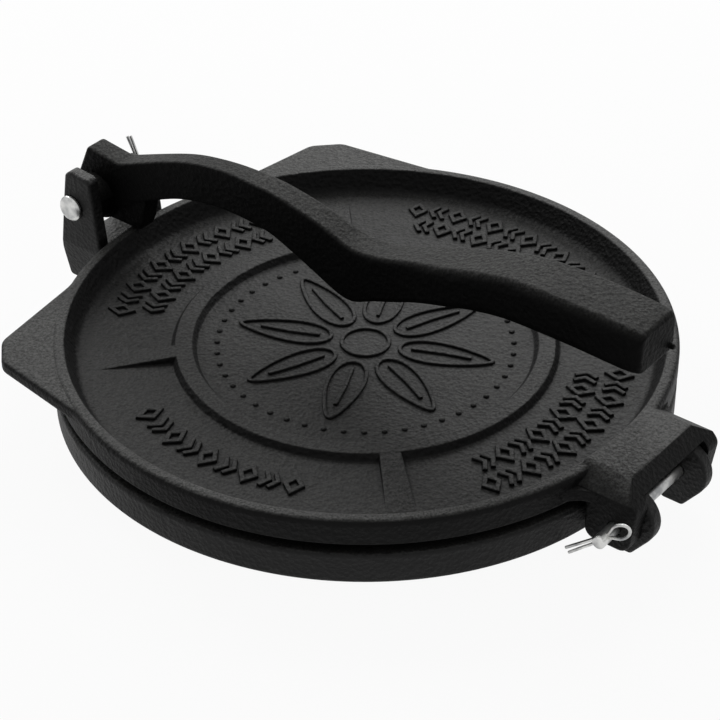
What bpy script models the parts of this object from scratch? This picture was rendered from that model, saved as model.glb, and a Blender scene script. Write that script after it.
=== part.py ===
"""Cast iron tortilla press with a clevis lever and a plate hinge.

The origin is the centre of the round plates on the surface that the feet stand on.
The lever clevis is towards -Y, the plate hinge is towards +Y and the pins run along X.
"""
import math

import bmesh
import bpy
from mathutils import Matrix, Vector

# Heights above the surface that the press stands on
SKIRT_BOTTOM = 0.0080
BASE_SIDE_HEIGHT = 0.0140
PRESS_GAP = 0.0003
PRESS_DISC_STEP = 0.0044
RIM_HEIGHT = 0.0113

# Round plates
PLATE_RADIUS = 0.1310
PRESS_DISC_INSET = 0.0078
PRESS_DISC_DRAFT = 0.0014
RIM_WIDTH = 0.0053
RIM_ROUND = 0.0030
EDGE_ROUND = 0.0008
SMALL_ROUND = 0.0013
RECESS_DEPTH = 0.0100
RECESS_WALL_RUN = 0.0048
RECESS_FOOT_ROUND = 0.0040
BASE_WALL = 0.0045
SKIRT_WALL = 0.0052
SKIRT_DRAFT = 0.0010
BASE_EDGE_ROUND = 0.0012

# Raised ring and spokes in the recess of the upper plate
RING_OUTER_RADIUS = 0.0798
RING_WIDTH = 0.0070
RING_HEIGHT = 0.0030
RING_SIDE_RUN = 0.0022
RING_ROUND = 0.0007
SPOKE_INNER_WIDTH = 0.0086
SPOKE_OUTER_WIDTH = 0.0128
SPOKE_END_INSET = 0.0052
SPOKE_SIDE_RUN = 0.0008
SPOKE_TOP_DROP = 0.0001
SPOKE_END_DROP = 0.0006

# Ribs and feet below the base
RIB_RING_RADIUS = 0.0600
RIB_WIDTH = 0.0050
RIB_DEPTH = 0.0050
RIB_ROUND = 0.0010
RIB_COUNT = 8
FOOT_INSET = 0.0290
FOOT_RADIUS = 0.0085
FOOT_DRAFT = 0.0020
FOOT_ROUND = 0.0010
FOOT_COUNT = 4
ROOT_OVERLAP = 0.0015

# Lifting tabs of the upper plate
TAB_OVERHANG = 0.0205
TAB_TIP_HALF_WIDTH = 0.0078
TAB_SIDE_ANGLE = math.radians(36.9)
TAB_TIP_ROUND = 0.0080
TAB_ROOT_ROUND = 0.0300
TAB_THICKNESS = 0.0060
TAB_DROP = 0.0006
TAB_EDGE_ROUND = 0.0014
TAB_ROOT_INSET = 0.0030

# Clevis of the base
CLEVIS_WIDTH = 0.0420
CLEVIS_GAP = 0.0310
LEVER_PIN_STANDOFF = 0.0172
LEVER_PIN_ABOVE_RIM = 0.0110
NEAR_EAR_ABOVE_PIN = 0.0180
NEAR_EAR_FRONT_TOP = -0.0004
NEAR_EAR_REAR_TOP = 0.0114
FAR_EAR_ABOVE_PIN = 0.0078
FAR_EAR_FRONT_TOP = -0.0026
FAR_EAR_REAR_TOP = 0.0096
FAR_EAR_SLOPE = 0.0055
EAR_TOP_RUN = 0.0032
EAR_FRONT_MIDDLE = 0.0065
EAR_FRONT_FOOT = 0.0090
EAR_REAR_FOOT = 0.0155
EAR_CORNER = 0.0024
EAR_ROUND = 0.0009
NECK_REACH_IN = 0.0290
NECK_SINK = 0.0012
CLEVIS_FLOOR_ABOVE_BASE = 0.0030
CLEVIS_TAPER = 0.0045
CLEVIS_TAPER_START = 0.0070

# Plate hinge
HINGE_PIN_STANDOFF = 0.0134
HINGE_PIN_HEIGHT = 0.0200
LUG_OUTER_HALF = 0.0220
LUG_INNER_HALF = 0.0160
LUG_RADIUS = 0.0128
LUG_FOOT_LIFT = 0.0030
LUG_FOOT_REAR = 0.0030
LUG_FOOT_FRONT = 0.0060
LUG_ROOT_REACH = 0.0240
LUG_ROOT_DROP = 0.0030
LUG_ROUND = 0.0009
CHEEK_OUTER_HALF = 0.0305
CHEEK_INNER_HALF = 0.0225
CHEEK_REAR_TOP = 0.0096
CHEEK_REAR_FOOT = 0.0066
CHEEK_BELOW_PIN = 0.0100
CHEEK_FRONT = 0.0135
CHEEK_CORNER = 0.0042
BRACKET_RISE = 0.0016
BRACKET_TOP_HALF = 0.0210
BRACKET_SHOULDER_DROP = 0.0064
BRACKET_TOP_REAR = 0.0010
BRACKET_ROOF = 0.0060
BRACKET_ROUND = 0.0009
BRACKET_ROOT_REACH = 0.0270
CHANNEL_ROUND = 0.0008
CHANNEL_FRONT = 0.0140
NOTCH_HALF = 0.0322
NOTCH_REACH = 0.0160
GUSSET_ROUND = 0.0120
GUSSET_INSET = 0.0025
GUSSET_DROP = 0.0052

# Press lever
GRIP_OVERHANG = 0.0088
LEVER_RISE = 0.0500
LEVER_DEPTH = 0.0200
ARM_WIDTH = 0.0112
GRIP_WIDTH = 0.0270
HUB_WIDTH = 0.0304
HUB_RADIUS = 0.0105
HEAD_RADIUS = 0.0126
HEEL_HEIGHT = 0.0224
HEEL_FRONT = 0.0040
HEEL_REAR = 0.0210
HEEL_REAR_DROP = 0.0030
HEAD_END_ANGLE = math.radians(345)
LEVER_ROUND = 0.0009
NOSE_REACH = 0.0245
NOSE_RISE_RUN = 0.0026
NOSE_WIDTH = 0.0092
NOSE_GAP = 0.0003
NOSE_ROOT_HEIGHT = 0.0070

# Pins and cotters
PIN_CLEARANCE = 0.0003
LEVER_PIN_RADIUS = 0.0040
LEVER_PIN_HEAD_RADIUS = 0.0060
LEVER_PIN_HEAD_HEIGHT = 0.0030
LEVER_PIN_TAIL = 0.0058
HINGE_PIN_RADIUS = 0.0028
HINGE_PIN_HEAD_RADIUS = 0.0046
HINGE_PIN_HEAD_HEIGHT = 0.0024
HINGE_PIN_TAIL = 0.0112
PIN_END_ROUND = 0.0007
HEAD_GAP = 0.0003
COTTER_WIRE_RADIUS = 0.00070
COTTER_SPLIT = 0.0002
COTTER_HOLE_RADIUS = 0.0019
COTTER_EYE_HALF_WIDTH = 0.0028
COTTER_EYE_LENGTH = 0.0105
COTTER_EYE_STANDOFF = 0.0012
COTTER_EYE_START = math.radians(200)
COTTER_EYE_TURN = math.radians(220)
LEVER_COTTER_FROM_END = 0.0030
HINGE_COTTER_FROM_END = 0.0044
LEVER_COTTER_LEG = 0.0150
HINGE_COTTER_LEG = 0.0212
COTTER_SPREAD = 0.0006
LEVER_COTTER_TILT = math.radians(205.0)
HINGE_COTTER_TILT = math.radians(-48.0)

# Shares of the lever: distance from the pin, top, depth and width from arm to grip
LEVER_STATION_SHARES = (0.000, 0.040, 0.060, 0.096, 0.157, 0.196, 0.236, 0.276, 0.318, 0.355,
                        0.396, 0.430, 0.467, 0.490, 0.512, 0.543, 0.577, 0.616, 0.656, 0.691,
                        0.722, 0.773, 0.808, 0.858, 0.906, 0.950, 0.982, 1.000)
LEVER_TOP_SHARES = (0.300, 0.385, 0.425, 0.508, 0.642, 0.710, 0.752, 0.774, 0.774, 0.766,
                    0.728, 0.688, 0.630, 0.586, 0.566, 0.582, 0.628, 0.702, 0.770, 0.828,
                    0.884, 0.956, 0.982, 0.992, 0.992, 0.984, 0.972, 0.955)
LEVER_DEPTH_SHARES = (0.800, 0.960, 1.000, 1.000, 0.950, 0.950, 0.960, 0.970, 0.980, 1.040,
                      1.160, 1.270, 1.360, 1.350, 1.290, 1.130, 1.060, 1.000, 0.950, 0.940,
                      0.945, 0.980, 1.000, 1.000, 1.005, 1.010, 0.990, 0.900)
LEVER_WIDTH_SHARES = (0.020, 0.010, 0.000, -0.040, -0.090, -0.105, -0.105, -0.070, 0.000, 0.020,
                      0.060, 0.080, 0.120, 0.170, 0.200, 0.230, 0.260, 0.400, 0.620, 0.740,
                      0.790, 0.860, 0.920, 0.990, 1.000, 0.985, 0.950, 0.860)
LEVER_FACET_SHARES = (0.000, 0.000, 0.000, 0.000, 0.000, 0.000, 0.000, 0.000, 0.000, 0.000,
                      0.020, 0.040, 0.080, 0.120, 0.160, 0.220, 0.320, 0.480, 0.680, 0.820,
                      0.900, 0.980, 1.000, 1.000, 1.000, 1.000, 1.000, 1.000)
GRIP_TOP_CORNER_X_SHARE = 0.26
GRIP_TOP_CORNER_Z_SHARE = 0.34
GRIP_LOW_CORNER_X_SHARE = 0.34
GRIP_LOW_CORNER_Z_SHARE = 0.26
ARM_CORNER_SHARE = 0.11

# Largest share of a side that the rounding of a corner takes
CORNER_RUN_SHARE = 0.49

# Facet counts
TURN_STEPS = 80
SMALL_TURN_STEPS = 32
PIN_TURN_STEPS = 28
ARC_STEPS = 4
CORNER_STEPS = 3
LEVER_STATIONS = 54

# Heights and places that follow from the sizes above
BASE_TOP = SKIRT_BOTTOM + BASE_SIDE_HEIGHT
PRESS_FACE = BASE_TOP + PRESS_GAP
RIM_BOTTOM = PRESS_FACE + PRESS_DISC_STEP
RIM_TOP = RIM_BOTTOM + RIM_HEIGHT
RECESS_FLOOR = RIM_TOP - RECESS_DEPTH
RING_TOP = RECESS_FLOOR + RING_HEIGHT
RIM_INNER_RADIUS = PLATE_RADIUS - RIM_WIDTH
PRESS_DISC_RADIUS = PLATE_RADIUS - PRESS_DISC_INSET
RING_INNER_RADIUS = RING_OUTER_RADIUS - RING_WIDTH
SPOKE_END_RADIUS = RIM_INNER_RADIUS - SPOKE_END_INSET
FOOT_CIRCLE_RADIUS = PLATE_RADIUS - FOOT_INSET
TAB_REACH = PLATE_RADIUS + TAB_OVERHANG
LEVER_PIN_Y = -PLATE_RADIUS - LEVER_PIN_STANDOFF
LEVER_PIN_Z = RIM_TOP + LEVER_PIN_ABOVE_RIM
LEVER_REACH = PLATE_RADIUS + GRIP_OVERHANG - LEVER_PIN_Y
HINGE_PIN_Y = PLATE_RADIUS + HINGE_PIN_STANDOFF
MARGIN = PLATE_RADIUS / 2
MERGE_DISTANCE = EDGE_ROUND / 80


def clear_scene():
    """Removes every object that the file starts with."""
    for item in list(bpy.data.objects):
        bpy.data.objects.remove(item, do_unlink=True)


def new_collection(name):
    """Makes a collection in the scene."""
    group = bpy.data.collections.new(name)
    bpy.context.scene.collection.children.link(group)
    return group


def new_material(name, colour, roughness, metallic):
    """Makes a plain Principled material."""
    material = bpy.data.materials.new(name)
    material.use_nodes = True
    shader = material.node_tree.nodes["Principled BSDF"]
    shader.inputs["Base Color"].default_value = (*colour, 1.0)
    shader.inputs["Roughness"].default_value = roughness
    shader.inputs["Metallic"].default_value = metallic
    material.diffuse_color = (*colour, 1.0)
    return material


def evaluated_mesh(item):
    """Gives the mesh of an object with its modifiers worked out and its doubles merged."""
    graph = bpy.context.evaluated_depsgraph_get()
    mesh = bpy.data.meshes.new_from_object(item.evaluated_get(graph))
    shape = bmesh.new()
    shape.from_mesh(mesh)
    bmesh.ops.remove_doubles(shape, verts=shape.verts, dist=MERGE_DISTANCE)
    bmesh.ops.recalc_face_normals(shape, faces=shape.faces)
    shape.to_mesh(mesh)
    shape.free()
    return mesh


def as_mesh_object(item, name, group):
    """Turns an object into a plain mesh object of the given name in the given collection."""
    mesh = evaluated_mesh(item)
    mesh.name = name
    made = bpy.data.objects.new(name, mesh)
    made.matrix_world = item.matrix_world
    group.objects.link(made)
    bpy.data.objects.remove(item, do_unlink=True)
    return made


def move_mesh(item, matrix):
    """Moves the points of a mesh object, so that the object itself stays at the origin."""
    item.data.transform(matrix)
    item.data.update()
    return item


def rounded_path(corners, closed):
    """Rounds the corners of a path; each corner is a pair of coordinates and a radius."""
    path = []
    count = len(corners)
    for index, (first, second, radius) in enumerate(corners):
        here = Vector((first, second))
        inside = closed or 0 < index < count - 1
        if radius <= 0 or not inside:
            path.append(here)
            continue
        before = Vector(corners[index - 1][:2]) - here
        after = Vector(corners[(index + 1) % count][:2]) - here
        half = before.angle(after) / 2
        longest = CORNER_RUN_SHARE * min(before.length, after.length)
        run = min(radius / math.tan(half), longest)
        radius_here = run * math.tan(half)
        start = here + before.normalized() * run
        end = here + after.normalized() * run
        centre = here + (before.normalized() + after.normalized()).normalized() * radius_here / math.sin(half)
        spoke_in = start - centre
        turn = spoke_in.angle_signed(end - centre)
        steps = CORNER_STEPS if radius > SMALL_ROUND else 1
        for step in range(steps + 1):
            path.append(centre + Matrix.Rotation(-turn * step / steps, 2) @ spoke_in)
    return path


def turned(name, path, steps, group):
    """Turns a path of radius and height around Z."""
    mesh = bpy.data.meshes.new(name)
    points = [(point[0], 0, point[1]) for point in path]
    edges = [(index, index + 1) for index in range(len(points) - 1)]
    mesh.from_pydata(points, edges, [])
    item = bpy.data.objects.new(name + "_profile", mesh)
    group.objects.link(item)
    screw = item.modifiers.new("turn", "SCREW")
    screw.axis = "Z"
    screw.angle = math.tau
    screw.steps = steps
    screw.render_steps = steps
    screw.use_merge_vertices = True
    screw.merge_threshold = MERGE_DISTANCE
    screw.use_smooth_shade = False
    bpy.context.view_layer.update()
    return as_mesh_object(item, name, group)


def flat_solid(name, outline, thickness, group):
    """Fills an outline in its plane and gives it a thickness on both sides of the plane."""
    curve = bpy.data.curves.new(name, "CURVE")
    curve.dimensions = "2D"
    curve.fill_mode = "BOTH"
    curve.extrude = thickness / 2
    spline = curve.splines.new("POLY")
    spline.points.add(len(outline) - 1)
    for point, place in zip(spline.points, outline):
        point.co = (place[0], place[1], 0, 1)
    spline.use_cyclic_u = True
    item = bpy.data.objects.new(name + "_outline", curve)
    group.objects.link(item)
    bpy.context.view_layer.update()
    return as_mesh_object(item, name, group)


def side_solid(name, outline, x_from, x_to, group, edge_round):
    """Gives an outline of Y and Z a width along X and rounds its edges."""
    item = flat_solid(name, outline, x_to - x_from, group)
    if edge_round > 0:
        add_bevel(item, edge_round)
        bpy.context.view_layer.update()
        item = as_mesh_object(item, name, group)
    turn = Matrix(((0, 0, 1, (x_from + x_to) / 2), (1, 0, 0, 0), (0, 1, 0, 0), (0, 0, 0, 1)))
    return move_mesh(item, turn)


def add_bevel(item, width):
    """Rounds the sharp edges of an object."""
    bevel = item.modifiers.new("rounding", "BEVEL")
    bevel.width = width
    bevel.segments = 2
    bevel.limit_method = "ANGLE"
    bevel.angle_limit = math.radians(35)
    bevel.use_clamp_overlap = True


def block(name, low, high, group):
    """Makes a box between two corners."""
    mesh = bpy.data.meshes.new(name)
    shape = bmesh.new()
    size = [high[axis] - low[axis] for axis in range(3)]
    middle = [(high[axis] + low[axis]) / 2 for axis in range(3)]
    bmesh.ops.create_cube(shape, size=1, matrix=Matrix.Translation(middle) @ Matrix.Diagonal((*size, 1)))
    shape.to_mesh(mesh)
    shape.free()
    item = bpy.data.objects.new(name, mesh)
    group.objects.link(item)
    return item


def rod_along_x(name, radius, x_from, x_to, y, z, steps, group):
    """Makes a plain round rod along X."""
    path = [(0, x_to), (radius, x_to), (radius, x_from), (0, x_from)]
    item = turned(name, path, steps, group)
    return move_mesh(item, Matrix.Translation((0, y, z)) @ Matrix.Rotation(math.pi / 2, 4, "Y"))


def combine(item, other, operation, group):
    """Adds a live EXACT Boolean and keeps the other object as a hidden tool."""
    step = item.modifiers.new(other.name, "BOOLEAN")
    step.operation = operation
    step.solver = "EXACT"
    step.object = other
    for owner in list(other.users_collection):
        owner.objects.unlink(other)
    group.objects.link(other)
    other.hide_render = True
    other.display_type = "WIRE"


def finish(item, material, group, pivot):
    """Works out the Booleans, shades the piece and puts its origin on its pivot."""
    bpy.context.view_layer.update()
    mesh = evaluated_mesh(item)
    mesh.transform(Matrix.Translation(-Vector(pivot)))
    item.modifiers.clear()
    item.data = mesh
    item.location = pivot
    mesh.materials.clear()
    mesh.materials.append(material)
    mesh.shade_smooth()
    mesh.set_sharp_from_angle(angle=math.radians(32))
    for owner in list(item.users_collection):
        owner.objects.unlink(item)
    group.objects.link(item)
    return item


def upper_plate_profile():
    """Radius and height of the upper plate from its centre over the rim to the pressing face."""
    wall_foot = RIM_INNER_RADIUS - RECESS_WALL_RUN
    press_edge = PRESS_DISC_RADIUS - PRESS_DISC_DRAFT
    return rounded_path([
        (0, RECESS_FLOOR, 0),
        (RING_INNER_RADIUS - RING_SIDE_RUN, RECESS_FLOOR, RING_ROUND),
        (RING_INNER_RADIUS, RING_TOP, RING_ROUND),
        (RING_OUTER_RADIUS, RING_TOP, RING_ROUND),
        (RING_OUTER_RADIUS + RING_SIDE_RUN, RECESS_FLOOR, RING_ROUND),
        (wall_foot, RECESS_FLOOR, RECESS_FOOT_ROUND),
        (RIM_INNER_RADIUS, RIM_TOP, EDGE_ROUND),
        (PLATE_RADIUS, RIM_TOP, RIM_ROUND),
        (PLATE_RADIUS, RIM_BOTTOM, EDGE_ROUND),
        (PRESS_DISC_RADIUS, RIM_BOTTOM, EDGE_ROUND),
        (press_edge, PRESS_FACE, EDGE_ROUND),
        (0, PRESS_FACE, 0)], False)


def base_plate_profile():
    """Radius and height of the base from its centre over the skirt to its hollow underside."""
    ceiling = BASE_TOP - BASE_WALL
    skirt_inside = PLATE_RADIUS - SKIRT_WALL
    rib_outer = RIB_RING_RADIUS + RIB_WIDTH / 2
    rib_inner = RIB_RING_RADIUS - RIB_WIDTH / 2
    return rounded_path([
        (0, BASE_TOP, 0),
        (PLATE_RADIUS, BASE_TOP, BASE_EDGE_ROUND),
        (PLATE_RADIUS, SKIRT_BOTTOM, BASE_EDGE_ROUND),
        (skirt_inside, SKIRT_BOTTOM, EDGE_ROUND),
        (skirt_inside - SKIRT_DRAFT, ceiling, RIB_ROUND),
        (rib_outer + SKIRT_DRAFT, ceiling, RIB_ROUND),
        (rib_outer, ceiling - RIB_DEPTH, RIB_ROUND),
        (rib_inner, ceiling - RIB_DEPTH, RIB_ROUND),
        (rib_inner - SKIRT_DRAFT, ceiling, RIB_ROUND),
        (0, ceiling, 0)], False)


def spoke(name, angle, group):
    """Makes one raised spoke that fades into the recess floor towards the rim."""
    inner = (RING_INNER_RADIUS + RING_OUTER_RADIUS) / 2
    sink = RECESS_FLOOR - RING_HEIGHT
    top_height = RING_TOP - SPOKE_TOP_DROP
    rows = []
    for radius, width, top in ((inner, SPOKE_INNER_WIDTH, top_height),
                               (RING_OUTER_RADIUS, SPOKE_INNER_WIDTH, top_height),
                               (SPOKE_END_RADIUS, SPOKE_OUTER_WIDTH, RECESS_FLOOR - SPOKE_END_DROP)):
        half = width / 2
        flare = SPOKE_SIDE_RUN * (top - sink) / (RING_TOP - sink)
        rows.append([(radius, -half - flare, sink), (radius, half + flare, sink),
                     (radius, half, top), (radius, -half, top)])
    shape = bmesh.new()
    made = [[shape.verts.new(point) for point in row] for row in rows]
    shape.faces.new(made[0])
    shape.faces.new(list(reversed(made[-1])))
    for first, second in zip(made, made[1:]):
        for index in range(4):
            after = (index + 1) % 4
            shape.faces.new((first[after], first[index], second[index], second[after]))
    bmesh.ops.recalc_face_normals(shape, faces=shape.faces)
    mesh = bpy.data.meshes.new(name)
    shape.to_mesh(mesh)
    shape.free()
    item = bpy.data.objects.new(name, mesh)
    group.objects.link(item)
    return move_mesh(item, Matrix.Rotation(angle, 4, "Z"))


def tab_outline():
    """Outline of a lifting tab that points along +X, with its root inside the rim."""
    side = Vector((-math.sin(TAB_SIDE_ANGLE), math.cos(TAB_SIDE_ANGLE)))
    outward = Vector((math.cos(TAB_SIDE_ANGLE), math.sin(TAB_SIDE_ANGLE)))
    corner = Vector((TAB_REACH, TAB_TIP_HALF_WIDTH))
    offset = corner.dot(outward) + TAB_ROOT_ROUND
    reach = PLATE_RADIUS + TAB_ROOT_ROUND
    along = math.sqrt(reach * reach - offset * offset)
    root_centre = outward * offset - side * along
    line_end = root_centre - outward * TAB_ROOT_ROUND
    ring_end = root_centre * PLATE_RADIUS / reach
    inner_radius = PLATE_RADIUS - TAB_ROOT_INSET
    start = line_end - root_centre
    turn = start.angle_signed(ring_end - root_centre)
    upper_root = []
    for step in range(1, ARC_STEPS + 1):
        upper_root.append(root_centre + Matrix.Rotation(-turn * step / ARC_STEPS, 2) @ start)
    tip = rounded_path([(*line_end, 0), (*corner, TAB_TIP_ROUND),
                        (corner.x, -corner.y, TAB_TIP_ROUND), (line_end.x, -line_end.y, 0)], False)
    root_angle = math.atan2(ring_end.y, ring_end.x)
    inner = []
    for step in range(2 * ARC_STEPS + 1):
        angle = root_angle * (1 - step / ARC_STEPS)
        inner.append(Vector((inner_radius * math.cos(angle), inner_radius * math.sin(angle))))
    lower_root = [Vector((point.x, -point.y)) for point in upper_root]
    return list(reversed(upper_root)) + tip + lower_root + list(reversed(inner))


def build_upper_plate(group, tools, iron):
    """The upper plate with its rim, recess, ring, spokes, lifting tabs and hinge bracket."""
    plate = turned("upper_plate", upper_plate_profile(), TURN_STEPS, group)
    for index in range(4):
        angle = math.radians(45 + 90 * index)
        combine(plate, spoke(f"spoke_{index}", angle, tools), "UNION", tools)
    for index, angle in enumerate((math.radians(-45), math.radians(-135))):
        tab = flat_solid(f"lifting_tab_{index}", tab_outline(), TAB_THICKNESS, tools)
        add_bevel(tab, TAB_EDGE_ROUND)
        bpy.context.view_layer.update()
        tab = as_mesh_object(tab, f"lifting_tab_{index}", tools)
        lift = Matrix.Translation((0, 0, RIM_TOP - TAB_DROP - TAB_THICKNESS / 2))
        move_mesh(tab, lift @ Matrix.Rotation(angle, 4, "Z"))
        combine(plate, tab, "UNION", tools)
    combine(plate, hinge_bracket(tools), "UNION", tools)
    bore = rod_along_x("cheek_bore", HINGE_PIN_RADIUS + PIN_CLEARANCE, -CHEEK_OUTER_HALF - MARGIN,
                       CHEEK_OUTER_HALF + MARGIN, HINGE_PIN_Y, HINGE_PIN_HEIGHT, PIN_TURN_STEPS, tools)
    combine(plate, bore, "DIFFERENCE", tools)
    return finish(plate, iron, group, (0, HINGE_PIN_Y, HINGE_PIN_HEIGHT))


def hinge_bracket(tools):
    """The bridge over the hinge with its two cheeks, its sloping shoulders and its open channel."""
    top = RIM_TOP + BRACKET_RISE
    roof = top - BRACKET_ROOF
    low = HINGE_PIN_HEIGHT - CHEEK_BELOW_PIN
    front = HINGE_PIN_Y - CHEEK_FRONT
    slope = HINGE_PIN_Y + BRACKET_TOP_REAR
    root = HINGE_PIN_Y - BRACKET_ROOT_REACH
    under = RIM_BOTTOM + EDGE_ROUND / 2
    outline = rounded_path([
        (root, under, 0),
        (root, top, 0),
        (slope, top, EDGE_ROUND),
        (HINGE_PIN_Y + CHEEK_REAR_TOP, roof - BRACKET_ROOF / 2, CHEEK_CORNER),
        (HINGE_PIN_Y + CHEEK_REAR_FOOT, low, CHEEK_CORNER),
        (front, low, CHEEK_CORNER),
        (front, under, 0)], True)
    body = side_solid("hinge_bridge", outline, -CHEEK_OUTER_HALF, CHEEK_OUTER_HALF, tools, BRACKET_ROUND)
    for index, side in enumerate((-1, 1)):
        reach = CHEEK_OUTER_HALF - BRACKET_TOP_HALF
        fall = BRACKET_SHOULDER_DROP / reach
        over = BRACKET_TOP_HALF - BRACKET_ROOF
        far = CHEEK_OUTER_HALF + MARGIN
        wedge = [(side * over, top + fall * BRACKET_ROOF),
                 (side * far, top - fall * (far - BRACKET_TOP_HALF)),
                 (side * far, top + MARGIN), (side * over, top + MARGIN)]
        cutter = flat_solid(f"shoulder_cut_{index}", wedge, 4 * MARGIN, tools)
        move_mesh(cutter, Matrix.Translation((0, HINGE_PIN_Y, 0)) @ Matrix.Rotation(math.pi / 2, 4, "X"))
        combine(body, cutter, "DIFFERENCE", tools)
    channel = rounded_path([
        (-CHEEK_INNER_HALF, low - MARGIN, 0),
        (CHEEK_INNER_HALF, low - MARGIN, 0),
        (CHEEK_INNER_HALF, roof, CHANNEL_ROUND),
        (-CHEEK_INNER_HALF, roof, CHANNEL_ROUND)], True)
    channel_front = HINGE_PIN_Y - CHANNEL_FRONT
    cutter = flat_solid("hinge_channel_cut", channel, 2 * MARGIN, tools)
    move_mesh(cutter, Matrix.Translation((0, channel_front + MARGIN, 0)) @ Matrix.Rotation(math.pi / 2, 4, "X"))
    combine(body, cutter, "DIFFERENCE", tools)
    recess_cut = turned("recess_clearance", [(0, top + MARGIN), (RIM_INNER_RADIUS + EDGE_ROUND, top + MARGIN),
                                             (RIM_INNER_RADIUS + EDGE_ROUND, RIM_BOTTOM - EDGE_ROUND),
                                             (0, RIM_BOTTOM - EDGE_ROUND)], TURN_STEPS, tools)
    combine(body, recess_cut, "DIFFERENCE", tools)
    for index, side in enumerate((-1, 1)):
        combine(body, bridge_gusset(f"bridge_gusset_{index}", side, tools), "UNION", tools)
    bpy.context.view_layer.update()
    return as_mesh_object(body, "hinge_bridge", tools)


def bridge_gusset(name, side, tools):
    """A web with a hollow outline that joins the rim to the outer side of one cheek."""
    reach = PLATE_RADIUS + GUSSET_ROUND
    across = CHEEK_OUTER_HALF + GUSSET_ROUND
    centre = Vector((across, math.sqrt(reach * reach - across * across)))
    ring_end = centre * PLATE_RADIUS / reach
    start = ring_end - centre
    turn = start.angle_signed(Vector((-GUSSET_ROUND, 0)))
    inner_x = CHEEK_OUTER_HALF - GUSSET_INSET
    inner_radius = PLATE_RADIUS - GUSSET_INSET
    outline = []
    for step in range(ARC_STEPS + 1):
        outline.append(centre + Matrix.Rotation(-turn * step / ARC_STEPS, 2) @ start)
    outline += [(inner_x, centre.y), (inner_x, math.sqrt(inner_radius * inner_radius - inner_x * inner_x)),
                ring_end * inner_radius / PLATE_RADIUS]
    low = RIM_BOTTOM + EDGE_ROUND
    high = RIM_TOP - GUSSET_DROP
    web = flat_solid(name, [(side * point[0], point[1]) for point in outline], high - low, tools)
    return move_mesh(web, Matrix.Translation((0, 0, (high + low) / 2)))


def build_base(group, tools, iron):
    """The base with its skirt, ribs, feet, lever clevis and hinge lugs."""
    base = turned("base_plate", base_plate_profile(), TURN_STEPS, group)
    ceiling = BASE_TOP - BASE_WALL
    for index in range(RIB_COUNT):
        rib = block(f"rib_{index}", (RIB_RING_RADIUS, -RIB_WIDTH / 2, ceiling - RIB_DEPTH + EDGE_ROUND),
                    (PLATE_RADIUS - SKIRT_WALL + ROOT_OVERLAP, RIB_WIDTH / 2, ceiling + ROOT_OVERLAP), tools)
        move_mesh(rib, Matrix.Rotation(math.tau * (index + 0.5) / RIB_COUNT, 4, "Z"))
        combine(base, rib, "UNION", tools)
    foot_path = rounded_path([(0, ceiling + ROOT_OVERLAP, 0), (FOOT_RADIUS + FOOT_DRAFT, ceiling + ROOT_OVERLAP, 0),
                              (FOOT_RADIUS, 0, FOOT_ROUND), (0, 0, 0)], False)
    for index in range(FOOT_COUNT):
        angle = math.tau * (index + 0.5) / FOOT_COUNT
        foot = turned(f"foot_{index}", foot_path, SMALL_TURN_STEPS, tools)
        place = (FOOT_CIRCLE_RADIUS * math.cos(angle), FOOT_CIRCLE_RADIUS * math.sin(angle), 0)
        move_mesh(foot, Matrix.Translation(place))
        combine(base, foot, "UNION", tools)
    for index, side in enumerate((-1, 1)):
        low = min(side * NOTCH_HALF, side * LUG_INNER_HALF)
        high = max(side * NOTCH_HALF, side * LUG_INNER_HALF)
        notch = block(f"cheek_notch_{index}", (low, HINGE_PIN_Y - NOTCH_REACH, SKIRT_BOTTOM - MARGIN),
                      (high, HINGE_PIN_Y + MARGIN, BASE_TOP + MARGIN), tools)
        combine(base, notch, "DIFFERENCE", tools)
        inner = side * LUG_INNER_HALF
        outer = side * LUG_OUTER_HALF
        lug = side_solid(f"hinge_lug_{index}", lug_outline(), min(inner, outer), max(inner, outer), tools, LUG_ROUND)
        combine(base, lug, "UNION", tools)
    combine(base, clevis(tools), "UNION", tools)
    for name, radius, y, z in (("lever_pin_bore", LEVER_PIN_RADIUS, LEVER_PIN_Y, LEVER_PIN_Z),
                               ("hinge_pin_bore", HINGE_PIN_RADIUS, HINGE_PIN_Y, HINGE_PIN_HEIGHT)):
        bore = rod_along_x(name, radius + PIN_CLEARANCE, -CLEVIS_WIDTH / 2 - MARGIN,
                           CLEVIS_WIDTH / 2 + MARGIN, y, z, PIN_TURN_STEPS, tools)
        combine(base, bore, "DIFFERENCE", tools)
    return finish(base, iron, group, (0, 0, 0))


def lug_outline():
    """Outline of a hinge lug: round over the pin, sloping down to a short foot, rooted in the skirt."""
    foot_rear = (HINGE_PIN_Y + LUG_FOOT_REAR, LUG_FOOT_LIFT)
    foot_front = (HINGE_PIN_Y - LUG_FOOT_FRONT, LUG_FOOT_LIFT)
    root = HINGE_PIN_Y - LUG_ROOT_REACH
    root_top = BASE_TOP - LUG_ROOT_DROP
    away = Vector((foot_rear[0] - HINGE_PIN_Y, foot_rear[1] - HINGE_PIN_HEIGHT))
    tangent = math.acos(LUG_RADIUS / away.length)
    last = math.atan2(away.y, away.x) + tangent
    angles = [math.pi * (1 - step / (2 * ARC_STEPS)) for step in range(2 * ARC_STEPS + 1)]
    angles += [last / 2, last]
    outline = []
    for angle in angles:
        outline.append((HINGE_PIN_Y + LUG_RADIUS * math.cos(angle), HINGE_PIN_HEIGHT + LUG_RADIUS * math.sin(angle)))
    outline += [foot_rear, foot_front, (HINGE_PIN_Y - LUG_RADIUS, SKIRT_BOTTOM + EDGE_ROUND / 2)]
    outline += [(root, SKIRT_BOTTOM + EDGE_ROUND / 2), (root, root_top), (HINGE_PIN_Y - LUG_RADIUS, root_top)]
    return outline


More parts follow.
